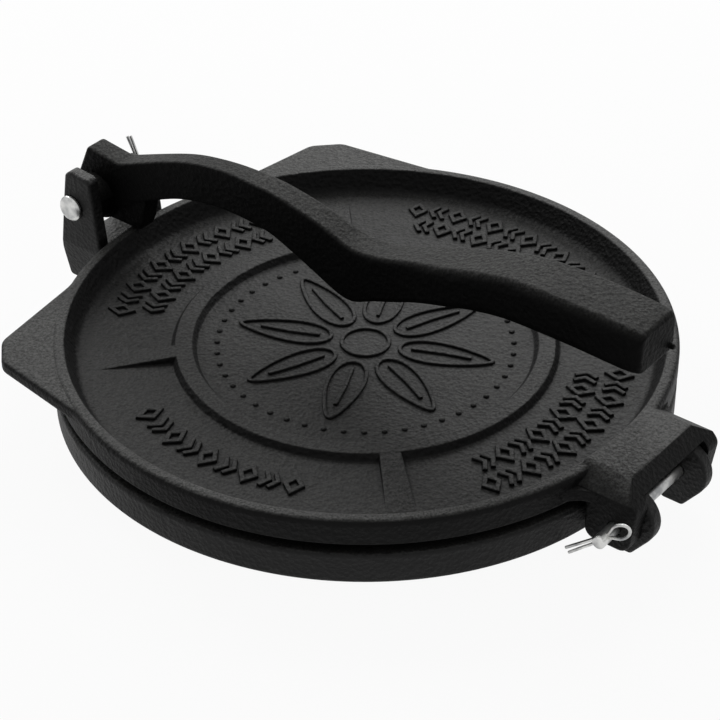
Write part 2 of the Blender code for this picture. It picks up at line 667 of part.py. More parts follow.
def far_ear_cut(tools):
    """Cutter that takes the far ear down to its own low top with sloping ends."""
    top = LEVER_PIN_Z + FAR_EAR_ABOVE_PIN
    front = LEVER_PIN_Y + FAR_EAR_FRONT_TOP
    rear = LEVER_PIN_Y + FAR_EAR_REAR_TOP
    outline = rounded_path([
        (front - FAR_EAR_SLOPE, top - FAR_EAR_SLOPE, 0),
        (front, top, EAR_CORNER),
        (rear, top, EAR_CORNER),
        (rear + FAR_EAR_SLOPE, top - FAR_EAR_SLOPE, 0),
        (rear + FAR_EAR_SLOPE, LEVER_PIN_Z + MARGIN, 0),
        (front - FAR_EAR_SLOPE, LEVER_PIN_Z + MARGIN, 0)], True)
    return side_solid("far_ear_cut", outline, -MARGIN, 0, tools, 0)


def clevis(tools):
    """The tall near ear and the low far ear for the lever pin, on a neck that narrows downwards."""
    half = CLEVIS_WIDTH / 2
    top = LEVER_PIN_Z + NEAR_EAR_ABOVE_PIN
    low = SKIRT_BOTTOM + EDGE_ROUND / 2
    front_top = LEVER_PIN_Y + NEAR_EAR_FRONT_TOP
    rear_foot = LEVER_PIN_Y + EAR_REAR_FOOT
    neck_end = LEVER_PIN_Y + NECK_REACH_IN
    neck_top = BASE_TOP - NECK_SINK
    foot = BASE_TOP + CLEVIS_TAPER_START
    outline = [
        (LEVER_PIN_Y - EAR_FRONT_FOOT, low),
        (neck_end, low),
        (neck_end, neck_top),
        (rear_foot, neck_top),
        (rear_foot, foot),
        (LEVER_PIN_Y + NEAR_EAR_REAR_TOP, top - EAR_CORNER / 2),
        (front_top, top),
        (front_top - EAR_TOP_RUN, top - EAR_CORNER),
        (LEVER_PIN_Y - EAR_FRONT_MIDDLE, LEVER_PIN_Z - EAR_CORNER),
        (LEVER_PIN_Y - EAR_FRONT_FOOT, foot)]
    body = side_solid("clevis_block", outline, -half, half, tools, EAR_ROUND)
    slant = CLEVIS_TAPER / (foot - SKIRT_BOTTOM)
    high = foot + CLEVIS_TAPER_START
    low = SKIRT_BOTTOM - CLEVIS_TAPER_START
    for index, side in enumerate((-1, 1)):
        wedge = [(side * (half + slant * (high - foot)), high), (side * (half + slant * (low - foot)), low),
                 (side * (half + MARGIN), low), (side * (half + MARGIN), high)]
        cutter = flat_solid(f"neck_taper_{index}", wedge, 2 * MARGIN, tools)
        move_mesh(cutter, Matrix.Translation((0, LEVER_PIN_Y, 0)) @ Matrix.Rotation(math.pi / 2, 4, "X"))
        combine(body, cutter, "DIFFERENCE", tools)
    slot = block("clevis_slot", (-CLEVIS_GAP / 2, LEVER_PIN_Y - MARGIN, BASE_TOP + CLEVIS_FLOOR_ABOVE_BASE),
                 (CLEVIS_GAP / 2, LEVER_PIN_Y + MARGIN, LEVER_PIN_Z + MARGIN), tools)
    combine(body, slot, "DIFFERENCE", tools)
    combine(body, far_ear_cut(tools), "DIFFERENCE", tools)
    bpy.context.view_layer.update()
    return as_mesh_object(body, "clevis_block", tools)


def smooth_value(places, values, place):
    """Reads a smooth curve through the values at a place between the given places."""
    index = 0
    while index < len(places) - 2 and place > places[index + 1]:
        index += 1
    left = max(index - 1, 0)
    right = min(index + 2, len(places) - 1)
    width = places[index + 1] - places[index]
    share = (place - places[index]) / width
    slope_left = (values[index + 1] - values[left]) / (places[index + 1] - places[left]) * width
    slope_right = (values[right] - values[index]) / (places[right] - places[index]) * width
    square = share * share
    cube = square * share
    return ((2 * cube - 3 * square + 1) * values[index] + (cube - 2 * square + share) * slope_left
            + (3 * square - 2 * cube) * values[index + 1] + (cube - square) * slope_right)


def lever_section(place):
    """One cross section of the lever: a plain bar that turns into a grip with broad facets."""
    top = LEVER_RISE * smooth_value(LEVER_STATION_SHARES, LEVER_TOP_SHARES, place)
    depth = LEVER_DEPTH * smooth_value(LEVER_STATION_SHARES, LEVER_DEPTH_SHARES, place)
    widening = smooth_value(LEVER_STATION_SHARES, LEVER_WIDTH_SHARES, place)
    facet = smooth_value(LEVER_STATION_SHARES, LEVER_FACET_SHARES, place)
    half = (ARM_WIDTH + (GRIP_WIDTH - ARM_WIDTH) * widening) / 2
    plain = ARM_CORNER_SHARE * 2 * half
    top_x = plain + (GRIP_TOP_CORNER_X_SHARE * half - plain) * facet
    top_z = plain + (GRIP_TOP_CORNER_Z_SHARE * depth - plain) * facet
    low_x = plain + (GRIP_LOW_CORNER_X_SHARE * half - plain) * facet
    low_z = plain + (GRIP_LOW_CORNER_Z_SHARE * depth - plain) * facet
    ring = []
    for corner_x, corner_z, run_x, run_z, start in ((half, top, top_x, top_z, 0), (-half, top, top_x, top_z, 1),
                                                    (-half, top - depth, low_x, low_z, 2),
                                                    (half, top - depth, low_x, low_z, 3)):
        side_x = math.copysign(1, corner_x)
        side_z = math.copysign(1, corner_z - top + depth / 2)
        for step in range(CORNER_STEPS + 1):
            angle = math.radians(90) * (start + step / CORNER_STEPS)
            x = corner_x - side_x * run_x + run_x * math.cos(angle)
            z = corner_z - side_z * run_z + run_z * math.sin(angle)
            ring.append((x, LEVER_REACH * place, z))
    return ring


def lever_arm(tools):
    """Lofts the arm from the pivot over the arch and the dip to the faceted grip."""
    shape = bmesh.new()
    rings = []
    first = LEVER_STATION_SHARES[1]
    for index in range(LEVER_STATIONS + 1):
        place = first + (1 - first) * index / LEVER_STATIONS
        rings.append([shape.verts.new(point) for point in lever_section(place)])
    count = len(rings[0])
    for near, far in zip(rings, rings[1:]):
        for index in range(count):
            after = (index + 1) % count
            shape.faces.new((near[index], near[after], far[after], far[index]))
    shape.faces.new(list(reversed(rings[0])))
    shape.faces.new(rings[-1])
    bmesh.ops.recalc_face_normals(shape, faces=shape.faces)
    mesh = bpy.data.meshes.new("press_lever")
    shape.to_mesh(mesh)
    shape.free()
    item = bpy.data.objects.new("press_lever", mesh)
    tools.objects.link(item)
    return item


def lever_head_outline():
    """Outline of the lever's head: a round eye with a heel corner that stands up at the front."""
    heel = Vector((-HEEL_FRONT, HEEL_HEIGHT))
    tangent = math.acos(HEAD_RADIUS / heel.length)
    first = math.atan2(heel.y, heel.x) + tangent
    outline = [(HEEL_REAR, HEEL_HEIGHT - HEEL_REAR_DROP), tuple(heel)]
    for step in range(3 * ARC_STEPS + 1):
        angle = first + (HEAD_END_ANGLE - first) * step / (3 * ARC_STEPS)
        outline.append((HEAD_RADIUS * math.cos(angle), HEAD_RADIUS * math.sin(angle)))
    outline.append((HEEL_REAR, 0))
    return outline


def build_lever(group, tools, iron):
    """The lever with its hub between the ears, its heel, its pressing nose, arm and grip."""
    lever = lever_arm(tools)
    half = ARM_WIDTH / 2
    head = side_solid("lever_head", lever_head_outline(), -half, half, tools, LEVER_ROUND)
    combine(lever, head, "UNION", tools)
    pad = NOSE_GAP - LEVER_PIN_ABOVE_RIM
    nose_outline = [(0, pad / 2), (HEAD_RADIUS / 2, pad), (NOSE_REACH, pad),
                    (NOSE_REACH + NOSE_RISE_RUN, pad / 2), (NOSE_REACH + 2 * NOSE_RISE_RUN, NOSE_ROOT_HEIGHT),
                    (0, NOSE_ROOT_HEIGHT)]
    nose = side_solid("lever_nose", nose_outline, -NOSE_WIDTH / 2, NOSE_WIDTH / 2, tools, LEVER_ROUND)
    combine(lever, nose, "UNION", tools)
    hub_path = rounded_path([(0, HUB_WIDTH / 2, 0), (HUB_RADIUS, HUB_WIDTH / 2, EDGE_ROUND),
                             (HUB_RADIUS, -HUB_WIDTH / 2, EDGE_ROUND), (0, -HUB_WIDTH / 2, 0)], False)
    hub = turned("lever_hub", hub_path, SMALL_TURN_STEPS, tools)
    move_mesh(hub, Matrix.Rotation(math.pi / 2, 4, "Y"))
    combine(lever, hub, "UNION", tools)
    bore = rod_along_x("lever_bore", LEVER_PIN_RADIUS + PIN_CLEARANCE, -MARGIN, MARGIN, 0, 0, PIN_TURN_STEPS, tools)
    combine(lever, bore, "DIFFERENCE", tools)
    lever = finish(lever, iron, group, (0, 0, 0))
    lever.location = (0, LEVER_PIN_Y, LEVER_PIN_Z)
    return lever


def lever_cotter_x():
    """Where the split pin crosses the lever pin."""
    return -CLEVIS_WIDTH / 2 - LEVER_PIN_TAIL + LEVER_COTTER_FROM_END


def hinge_cotter_x():
    """Where the split pin crosses the hinge pin."""
    return CHEEK_OUTER_HALF + HINGE_PIN_TAIL - HINGE_COTTER_FROM_END


def cross_hole(name, x, y, z, tilt, tools):
    """A cutter for the cotter hole, across the pin."""
    path = [(0, MARGIN), (COTTER_HOLE_RADIUS, MARGIN), (COTTER_HOLE_RADIUS, -MARGIN), (0, -MARGIN)]
    hole = turned(name, path, PIN_TURN_STEPS // 2, tools)
    return move_mesh(hole, Matrix.Translation((x, y, z)) @ Matrix.Rotation(tilt, 4, "X"))


def build_pins(group, tools, bright):
    """The lever pin with its head at +X and the hinge pin with its head at -X."""
    half = CLEVIS_WIDTH / 2
    head_from = half + HEAD_GAP
    tail = half + LEVER_PIN_TAIL
    path = rounded_path([(0, head_from + LEVER_PIN_HEAD_HEIGHT, 0),
                         (LEVER_PIN_HEAD_RADIUS, head_from + LEVER_PIN_HEAD_HEIGHT, LEVER_PIN_HEAD_HEIGHT / 2),
                         (LEVER_PIN_HEAD_RADIUS, head_from, PIN_END_ROUND / 2), (LEVER_PIN_RADIUS, head_from, 0),
                         (LEVER_PIN_RADIUS, -tail, PIN_END_ROUND), (0, -tail, 0)], False)
    pin = turned("lever_pin", path, PIN_TURN_STEPS, tools)
    move_mesh(pin, Matrix.Translation((0, LEVER_PIN_Y, LEVER_PIN_Z)) @ Matrix.Rotation(math.pi / 2, 4, "Y"))
    hole = cross_hole("lever_pin_cross_hole", lever_cotter_x(), LEVER_PIN_Y, LEVER_PIN_Z,
                      LEVER_COTTER_TILT, tools)
    combine(pin, hole, "DIFFERENCE", tools)
    finish(pin, bright, group, (0, LEVER_PIN_Y, LEVER_PIN_Z))
    head_at = CHEEK_OUTER_HALF + HEAD_GAP
    tail = CHEEK_OUTER_HALF + HINGE_PIN_TAIL
    path = rounded_path([(0, tail, 0), (HINGE_PIN_RADIUS, tail, PIN_END_ROUND), (HINGE_PIN_RADIUS, -head_at, 0),
                         (HINGE_PIN_HEAD_RADIUS, -head_at, PIN_END_ROUND / 2),
                         (HINGE_PIN_HEAD_RADIUS, -head_at - HINGE_PIN_HEAD_HEIGHT, HINGE_PIN_HEAD_HEIGHT / 2),
                         (0, -head_at - HINGE_PIN_HEAD_HEIGHT, 0)], False)
    pin = turned("hinge_pin", path, PIN_TURN_STEPS, tools)
    move_mesh(pin, Matrix.Translation((0, HINGE_PIN_Y, HINGE_PIN_HEIGHT)) @ Matrix.Rotation(math.pi / 2, 4, "Y"))
    hole = cross_hole("hinge_pin_cross_hole", hinge_cotter_x(), HINGE_PIN_Y, HINGE_PIN_HEIGHT,
                      HINGE_COTTER_TILT, tools)
    combine(pin, hole, "DIFFERENCE", tools)
    finish(pin, bright, group, (0, HINGE_PIN_Y, HINGE_PIN_HEIGHT))


def cotter_path(pin_radius, leg):
    """Centre line of a split pin along Z: a leg, the eye above the pin, and the other leg."""
    side = COTTER_WIRE_RADIUS + COTTER_SPLIT / 2
    eye_low = pin_radius + COTTER_EYE_STANDOFF
    eye_high = eye_low + COTTER_EYE_LENGTH
    exit_low = -pin_radius - COTTER_EYE_STANDOFF
    tip = -leg
    left = [(-side - COTTER_SPREAD, tip), (-side - COTTER_SPREAD / 3, (tip + exit_low) / 2), (-side, exit_low),
            (-side, eye_low - COTTER_EYE_STANDOFF / 2)]
    eye = []
    for step in range(2 * ARC_STEPS + 1):
        angle = COTTER_EYE_START - COTTER_EYE_TURN * step / (2 * ARC_STEPS)
        eye.append((COTTER_EYE_HALF_WIDTH * math.cos(angle),
                    (eye_low + eye_high) / 2 + COTTER_EYE_LENGTH / 2 * math.sin(angle)))
    right = [(-x, z) for x, z in reversed(left)]
    return left + eye + right


def build_cotter(name, pin_radius, leg, place, tilt, group, tools, bright):
    """Bends a round wire into a split pin and puts it through its pin, leaning by the tilt."""
    curve = bpy.data.curves.new(name, "CURVE")
    curve.dimensions = "3D"
    curve.bevel_depth = COTTER_WIRE_RADIUS
    curve.bevel_resolution = 1
    curve.use_fill_caps = True
    path = cotter_path(pin_radius, leg)
    spline = curve.splines.new("POLY")
    spline.points.add(len(path) - 1)
    for point, (x, z) in zip(spline.points, path):
        point.co = (0, x, z, 1)
    item = bpy.data.objects.new(name + "_wire", curve)
    tools.objects.link(item)
    bpy.context.view_layer.update()
    cotter = as_mesh_object(item, name, tools)
    move_mesh(cotter, Matrix.Translation(place) @ Matrix.Rotation(tilt, 4, "X"))
    finish(cotter, bright, group, place)


def main():
    """Builds every piece of the press."""
    clear_scene()
    press = new_collection("tortilla_press")
    tools = new_collection("cutters")
    tools.hide_render = True
    iron_base = new_material("base_iron", (0.020, 0.020, 0.021), 0.55, 0.55)
    iron_plate = new_material("plate_iron", (0.030, 0.030, 0.031), 0.50, 0.55)
    iron_lever = new_material("lever_iron", (0.024, 0.024, 0.025), 0.52, 0.55)
    pin_steel = new_material("pin_steel", (0.75, 0.75, 0.76), 0.22, 1.0)
    cotter_steel = new_material("cotter_steel", (0.68, 0.68, 0.69), 0.28, 1.0)
    build_base(press, tools, iron_base)
    build_upper_plate(press, tools, iron_plate)
    build_lever(press, tools, iron_lever)
    build_pins(press, tools, pin_steel)
    build_cotter("lever_cotter", LEVER_PIN_RADIUS, LEVER_COTTER_LEG, (lever_cotter_x(), LEVER_PIN_Y, LEVER_PIN_Z),
                 LEVER_COTTER_TILT, press, tools, cotter_steel)
    build_cotter("hinge_cotter", HINGE_PIN_RADIUS, HINGE_COTTER_LEG,
                 (hinge_cotter_x(), HINGE_PIN_Y, HINGE_PIN_HEIGHT), HINGE_COTTER_TILT, press, tools, cotter_steel)
    tools.hide_viewport = True


main()
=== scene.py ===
"""Cast iron tortilla press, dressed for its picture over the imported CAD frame.

All sizes are in metres in the frame of the CAD: the origin is the centre of the round plates
on the surface that the feet stand on, the lever's clevis is towards -Y and the hinge towards +Y.
"""
from __future__ import annotations

import logging
import math
from dataclasses import dataclass, field
from enum import Enum
from functools import partial
from typing import Any, Callable, Iterable, Sequence

import bmesh
import bpy
from bmesh.types import BMesh, BMVert
from bpy.types import Material, NodeTree, Object
from mathutils import Matrix, Vector


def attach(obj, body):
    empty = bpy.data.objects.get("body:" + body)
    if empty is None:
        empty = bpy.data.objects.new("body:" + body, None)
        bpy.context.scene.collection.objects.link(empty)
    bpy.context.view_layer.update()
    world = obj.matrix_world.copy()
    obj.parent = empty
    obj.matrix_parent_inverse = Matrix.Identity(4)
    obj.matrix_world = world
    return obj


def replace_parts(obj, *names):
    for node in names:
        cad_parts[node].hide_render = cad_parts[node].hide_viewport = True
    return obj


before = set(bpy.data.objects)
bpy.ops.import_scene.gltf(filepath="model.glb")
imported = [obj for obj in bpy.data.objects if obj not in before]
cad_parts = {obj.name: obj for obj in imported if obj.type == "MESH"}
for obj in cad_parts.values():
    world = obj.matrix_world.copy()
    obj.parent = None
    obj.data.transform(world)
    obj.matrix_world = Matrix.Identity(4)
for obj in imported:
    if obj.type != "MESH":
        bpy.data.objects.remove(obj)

LOG = logging.getLogger("tortilla_press")
TINY = 1e-6
# Further than any cut has to reach past the castings.
FAR = 0.0655
# The gap all round between a pin and its bore.
PLAY = 0.0003
# The largest share of a straight side that the rounding of one corner may take.
SIDE_SHARE = 0.49
# Edges that turn more than this get a rounding.
ROUND_FROM = math.radians(32)


# Paths and outlines

@dataclass(frozen=True)
class Corner:
    """One corner of a path and the radius that rounds it."""

    x: float
    y: float
    radius: float = 0.0


def points(*pairs: Sequence[float]) -> list[Vector]:
    """Turns pairs of numbers into points."""
    return [Vector(pair) for pair in pairs]


def swing(centre: Vector, first: Vector, last: Vector, steps: int) -> list[Vector]:
    """Gives points on the shorter arc between two directions.

    Args:
        centre: The arc's centre.
        first: The first point, seen from the centre.
        last: The direction of the last point.
        steps: The number of chords.

    Returns:
        The points in order.
    """
    turn = first.angle_signed(last)
    return [centre + Matrix.Rotation(-turn * step / steps, 2) @ first for step in range(steps + 1)]


def rounded(corners: Sequence[Corner], closed: bool = False, step_angle: float = 15.0) -> list[Vector]:
    """Rounds the corners of a path.

    Args:
        corners: The corners in order.
        closed: Whether the last corner joins the first.
        step_angle: The turn between two points of a rounding, in degrees.

    Returns:
        The points of the rounded path.
    """
    path: list[Vector] = []
    count = len(corners)
    for index, corner in enumerate(corners):
        here = Vector((corner.x, corner.y))
        if corner.radius <= 0 or not (closed or 0 < index < count - 1):
            path.append(here)
            continue
        last = corners[index - 1]
        following = corners[(index + 1) % count]
        before = Vector((last.x, last.y)) - here
        after = Vector((following.x, following.y)) - here
        half = before.angle(after) / 2
        run = min(corner.radius / math.tan(half), SIDE_SHARE * before.length, SIDE_SHARE * after.length)
        radius = run * math.tan(half)
        centre = here + (before.normalized() + after.normalized()).normalized() * radius / math.sin(half)
        start = here + before.normalized() * run - centre
        end = here + after.normalized() * run - centre
        steps = max(2, math.ceil(abs(math.degrees(start.angle_signed(end))) / step_angle))
        path += swing(centre, start, end, steps)
    return path


def arc(centre: Sequence[float], radius: float, start: float, end: float, steps: int) -> list[Vector]:
    """Gives points on an arc.

    Args:
        centre: The arc's centre.
        radius: Its radius.
        start: Its first angle, in radians.
        end: Its last angle, in radians.
        steps: The number of its chords.

    Returns:
        The points from start to end.
    """
    angles = [start + (end - start) * step / steps for step in range(steps + 1)]
    return [Vector((centre[0] + radius * math.cos(a), centre[1] + radius * math.sin(a))) for a in angles]


# Meshes

def new_object(name: str, shape: BMesh) -> Object:
    """Makes a linked object of a bmesh and frees it.

    Args:
        name: The object's name.
        shape: The bmesh, with its faces.

    Returns:
        The object, with its faces pointing outwards.
    """
    bmesh.ops.remove_doubles(shape, verts=shape.verts, dist=TINY)
    bmesh.ops.recalc_face_normals(shape, faces=shape.faces)
    mesh = bpy.data.meshes.new(name)
    shape.to_mesh(mesh)
    shape.free()
    item = bpy.data.objects.new(name, mesh)
    bpy.context.scene.collection.objects.link(item)
    return item


def moved(item: Object, spot: Sequence[float], angle: float = 0.0, axis: str = "Z") -> Object:
    """Turns a piece's mesh about an axis through the origin and then moves it.

    Args:
        item: The piece.
        spot: Where its origin goes.
        angle: The turn, in degrees.
        axis: The axis of the turn.

    Returns:
        The same piece.
    """
    item.data.transform(Matrix.Translation(spot) @ Matrix.Rotation(math.radians(angle), 4, axis))
    return item


def skin(shape: BMesh, rings: Sequence[Sequence[BMVert]], closed: bool = False, capped: bool = False) -> None:
    """Joins rings of equal count with faces.

    Args:
        shape: The bmesh that holds the rings.
        rings: The rings in order. A ring of one point makes a tip.
        closed: Whether the last ring joins the first.
        capped: Whether the first and the last ring get a face.
    """
    pairs = list(zip(rings, rings[1:])) + ([(rings[-1], rings[0])] if closed else [])
    for near, far in pairs:
        count = max(len(near), len(far))
        for index in range(count):
            after = (index + 1) % count
            corners = [near[index % len(near)], near[after % len(near)],
                       far[after % len(far)], far[index % len(far)]]
            unique = list(dict.fromkeys(corners))
            if len(unique) > 2:
                shape.faces.new(unique)
    if capped:
        shape.faces.new(rings[0])
        shape.faces.new(rings[-1])


def revolve(name: str, path: Sequence[Vector], steps: int = 240) -> Object:
    """Turns a path of radius and height round Z.

    Args:
        name: The object's name.
        path: The path, as radius and height.
        steps: The facets of a full turn.

    Returns:
        The turned object.
    """
    shape = bmesh.new()
    angles = [math.tau * step / steps for step in range(steps)]
    rings = []
    for point in path:
        if point.x < TINY:
            rings.append([shape.verts.new((0, 0, point.y))])
            continue
        turned = [(point.x * math.cos(a), point.x * math.sin(a), point.y) for a in angles]
        rings.append([shape.verts.new(spot) for spot in turned])
    skin(shape, rings)
    return new_object(name, shape)


def slab(name: str, outline: Sequence[Vector], thickness: float, edge: float = 0.0,
         segments: int = 3) -> Object:
    """Gives a flat outline a thickness on both sides of its plane and rounds its edges.

    Args:
        name: The object's name.
        outline: The closed outline in X and Y.
        thickness: Its whole thickness.
        edge: The rounding of its edges.
        segments: The facets across a rounding.

    Returns:
        The slab.
    """
    shape = bmesh.new()
    layers = [[shape.verts.new((p.x, p.y, z)) for p in outline] for z in (-thickness / 2, thickness / 2)]
    shape.faces.new(list(reversed(layers[0])))
    shape.faces.new(layers[1])
    skin(shape, layers)
    bmesh.ops.recalc_face_normals(shape, faces=shape.faces)
    if edge > 0:
        sharp = [e for e in shape.edges if e.calc_face_angle(0.0) > ROUND_FROM]
        bmesh.ops.bevel(shape, geom=sharp, offset=edge, segments=segments, profile=0.5, affect="EDGES")
    return new_object(name, shape)


def side_slab(name: str, outline: Sequence[Vector], x_from: float, x_to: float, edge: float = 0.0) -> Object:
    """Gives an outline of Y and Z a width along X.

    Args:
        name: The object's name.
        outline: The outline, as Y and Z.
        x_from: Where the width starts.
        x_to: Where it ends.
        edge: The rounding of its edges.

    Returns:
        The slab.
    """
    item = slab(name, outline, x_to - x_from, edge)
    item.data.transform(Matrix(((0, 0, 1, (x_from + x_to) / 2), (1, 0, 0, 0), (0, 1, 0, 0), (0, 0, 0, 1))))
    return item


def cross_slab(name: str, outline: Sequence[Vector], y: float, length: float) -> Object:
    """Gives an outline of X and Z a length along Y.

    Args:
        name: The object's name.
        outline: The outline, as X and Z.
        y: The middle of the length.
        length: The whole length.

    Returns:
        The slab.
    """
    return moved(slab(name, outline, length), (0, y, 0), 90, "X")


class Joining(Enum):
    """How two solids are put together."""

    ADD = "UNION"
    CUT = "DIFFERENCE"


def join(item: Object, others: Iterable[Object], how: Joining) -> Object:
    """Puts solids together one after the other and removes the used ones.

    Args:
        item: The solid that is kept.
        others: The solids that are added or cut away.
        how: Whether they are added or cut away.

    Returns:
        The kept solid.
    """
    for other in others:
        step = item.modifiers.new("step", "BOOLEAN")
        step.operation = how.value
        step.solver = "MANIFOLD"
        step.object = other
        settle(item)
        bpy.data.objects.remove(other, do_unlink=True)
    return item


def settle(item: Object) -> Object:
    """Works out an object's modifiers into a plain mesh.

    Args:
        item: The object.

    Returns:
        The same object with no modifier.
    """
    bpy.context.view_layer.update()
    graph = bpy.context.evaluated_depsgraph_get()
    mesh = bpy.data.meshes.new_from_object(item.evaluated_get(graph))
    old = item.data
    item.modifiers.clear()
    item.data = mesh
    bpy.data.meshes.remove(old)
    return item


def smooth(item: Object, angle: float = 38.0) -> Object:
    """Shades an object smooth up to an angle, with its flat faces kept flat.

    Args:
        item: The object.
        angle: The largest angle, in degrees, that is shaded smooth.

    Returns:
        The same object.
    """
    shape = bmesh.new()
    shape.from_mesh(item.data)
    bmesh.ops.remove_doubles(shape, verts=shape.verts, dist=TINY)
    bmesh.ops.dissolve_degenerate(shape, edges=shape.edges, dist=TINY)
    shape.to_mesh(item.data)
    shape.free()
    item.data.shade_smooth()
    item.data.set_sharp_from_angle(angle=math.radians(angle))
    weigh = item.modifiers.new("weigh", "WEIGHTED_NORMAL")
    weigh.keep_sharp = True
    weigh.weight = 80
    return settle(item)


def merge(name: str, parts: Sequence[Object]) -> Object:
    """Puts plain meshes into one object without changing their shapes.

    Args:
        name: The object's name.
        parts: The objects, which are removed.

    Returns:
        The one object.
    """
    shape = bmesh.new()
    for part in parts:
        shape.from_mesh(part.data)
        bpy.data.objects.remove(part, do_unlink=True)
    return new_object(name, shape)


@dataclass(frozen=True)
class Ridge:
    """A raised line on a cast face: its width, height, root flare and depth below the face."""

    width: float
    height: float
    flare: float = 0.00015
    sink: float = 0.0003
    round_share: float = 0.35
    sharpest_turn: float = 0.45

    def section(self) -> list[Vector]:
        """Gives the section across the line, as offset and height."""
        half = self.width / 2
        rounding = min(self.height, self.width) * self.round_share
        return rounded([Corner(-half - self.flare, -self.sink), Corner(-half, self.height, rounding),
                        Corner(half, self.height, rounding), Corner(half + self.flare, -self.sink)], False, 30.0)

    def sweep(self, shape: BMesh, path: Sequence[Vector], closed: bool, where: Matrix) -> None:
        """Sweeps the section along a flat path.

        Args:
            shape: The bmesh that gets the ridge.
            path: The flat path.
            closed: Whether the path closes on itself.
            where: Where the path's plane lies.
        """
        section = self.section()
        rings = []
        count = len(path)
        for index, here in enumerate(path):
            before = path[index - 1] if closed or index > 0 else here
            after = path[(index + 1) % count] if closed or index < count - 1 else here
            along = (here - before).normalized() + (after - here).normalized()
            along.normalize()
            leg = (after - here) if (after - here).length > TINY else (here - before)
            side = Vector((-along.y, along.x)) / max(self.sharpest_turn, abs(along.dot(leg.normalized())))
            spots = [(here + side * point.x, point.y) for point in section]
            rings.append([shape.verts.new(where @ Vector((spot.x, spot.y, z))) for spot, z in spots])
        skin(shape, rings, closed, not closed)


# Materials

def srgb(code: str) -> tuple[float, float, float, float]:
    """Turns an sRGB hex code into a linear colour.

    Args:
        code: The code, such as "#202020".

    Returns:
        The linear red, green and blue, and an alpha of 1.
    """
    parts = [int(code.lstrip("#")[index:index + 2], 16) / 255 for index in (0, 2, 4)]
    linear = [p / 12.92 if p <= 0.04045 else ((p + 0.055) / 1.055) ** 2.4 for p in parts]
    return (*linear, 1.0)


def wire_up(node: Any, inputs: dict[Any, Any]) -> None:
    """Sets a node's inputs.

    Args:
        node: The node.
        inputs: Values, sockets, or nodes for their first output, by the input's name or number.
    """
    for key, value in inputs.items():
        if isinstance(value, bpy.types.Node):
            value = value.outputs[0]
        if isinstance(value, bpy.types.NodeSocket):
            node.id_data.links.new(value, node.inputs[key])
        else:
            node.inputs[key].default_value = value


def add_node(tree: NodeTree, kind: str, inputs: dict[Any, Any] | None = None, **settings: Any) -> Any:
    """Adds a node with its settings, its values and its links.

    Args:
        tree: The tree that gets the node.
        kind: The node's type.
        inputs: What its inputs are set to, as in wire_up.
        settings: The node's own settings.

    Returns:
        The node.
    """
    node = tree.nodes.new(kind)
    for name, value in settings.items():
        setattr(node, name, value)
    wire_up(node, inputs or {})
    return node


def new_material(name: str) -> tuple[Material, Callable[..., Any], Any]:
    """Starts a material.

    Args:
        name: The material's name.

    Returns:
        The material, what adds a node to it, and its shader.
    """
    material = bpy.data.materials.new(name)
    material.use_nodes = True
    tree = material.node_tree
    return material, partial(add_node, tree), tree.nodes["Principled BSDF"]


def tone_ramp(add: Callable[..., Any], value: Any, stops: Sequence[tuple[float, str]]) -> Any:
    """Adds a colour ramp.

    Args:
        add: What adds a node to the material.
        value: The node that drives the ramp.
        stops: Places from 0 to 1 and their sRGB hex codes.

    Returns:
        The ramp.
    """
    ramp = add("ShaderNodeValToRGB", {"Fac": value})
    for element, (spot, code) in zip(ramp.color_ramp.elements, stops):
        element.position = spot
        element.color = srgb(code)
    return ramp


def mm_scale(size: float) -> float:
    """Gives the scale of a noise whose grains are this many millimetres across."""
    return 1000 / size


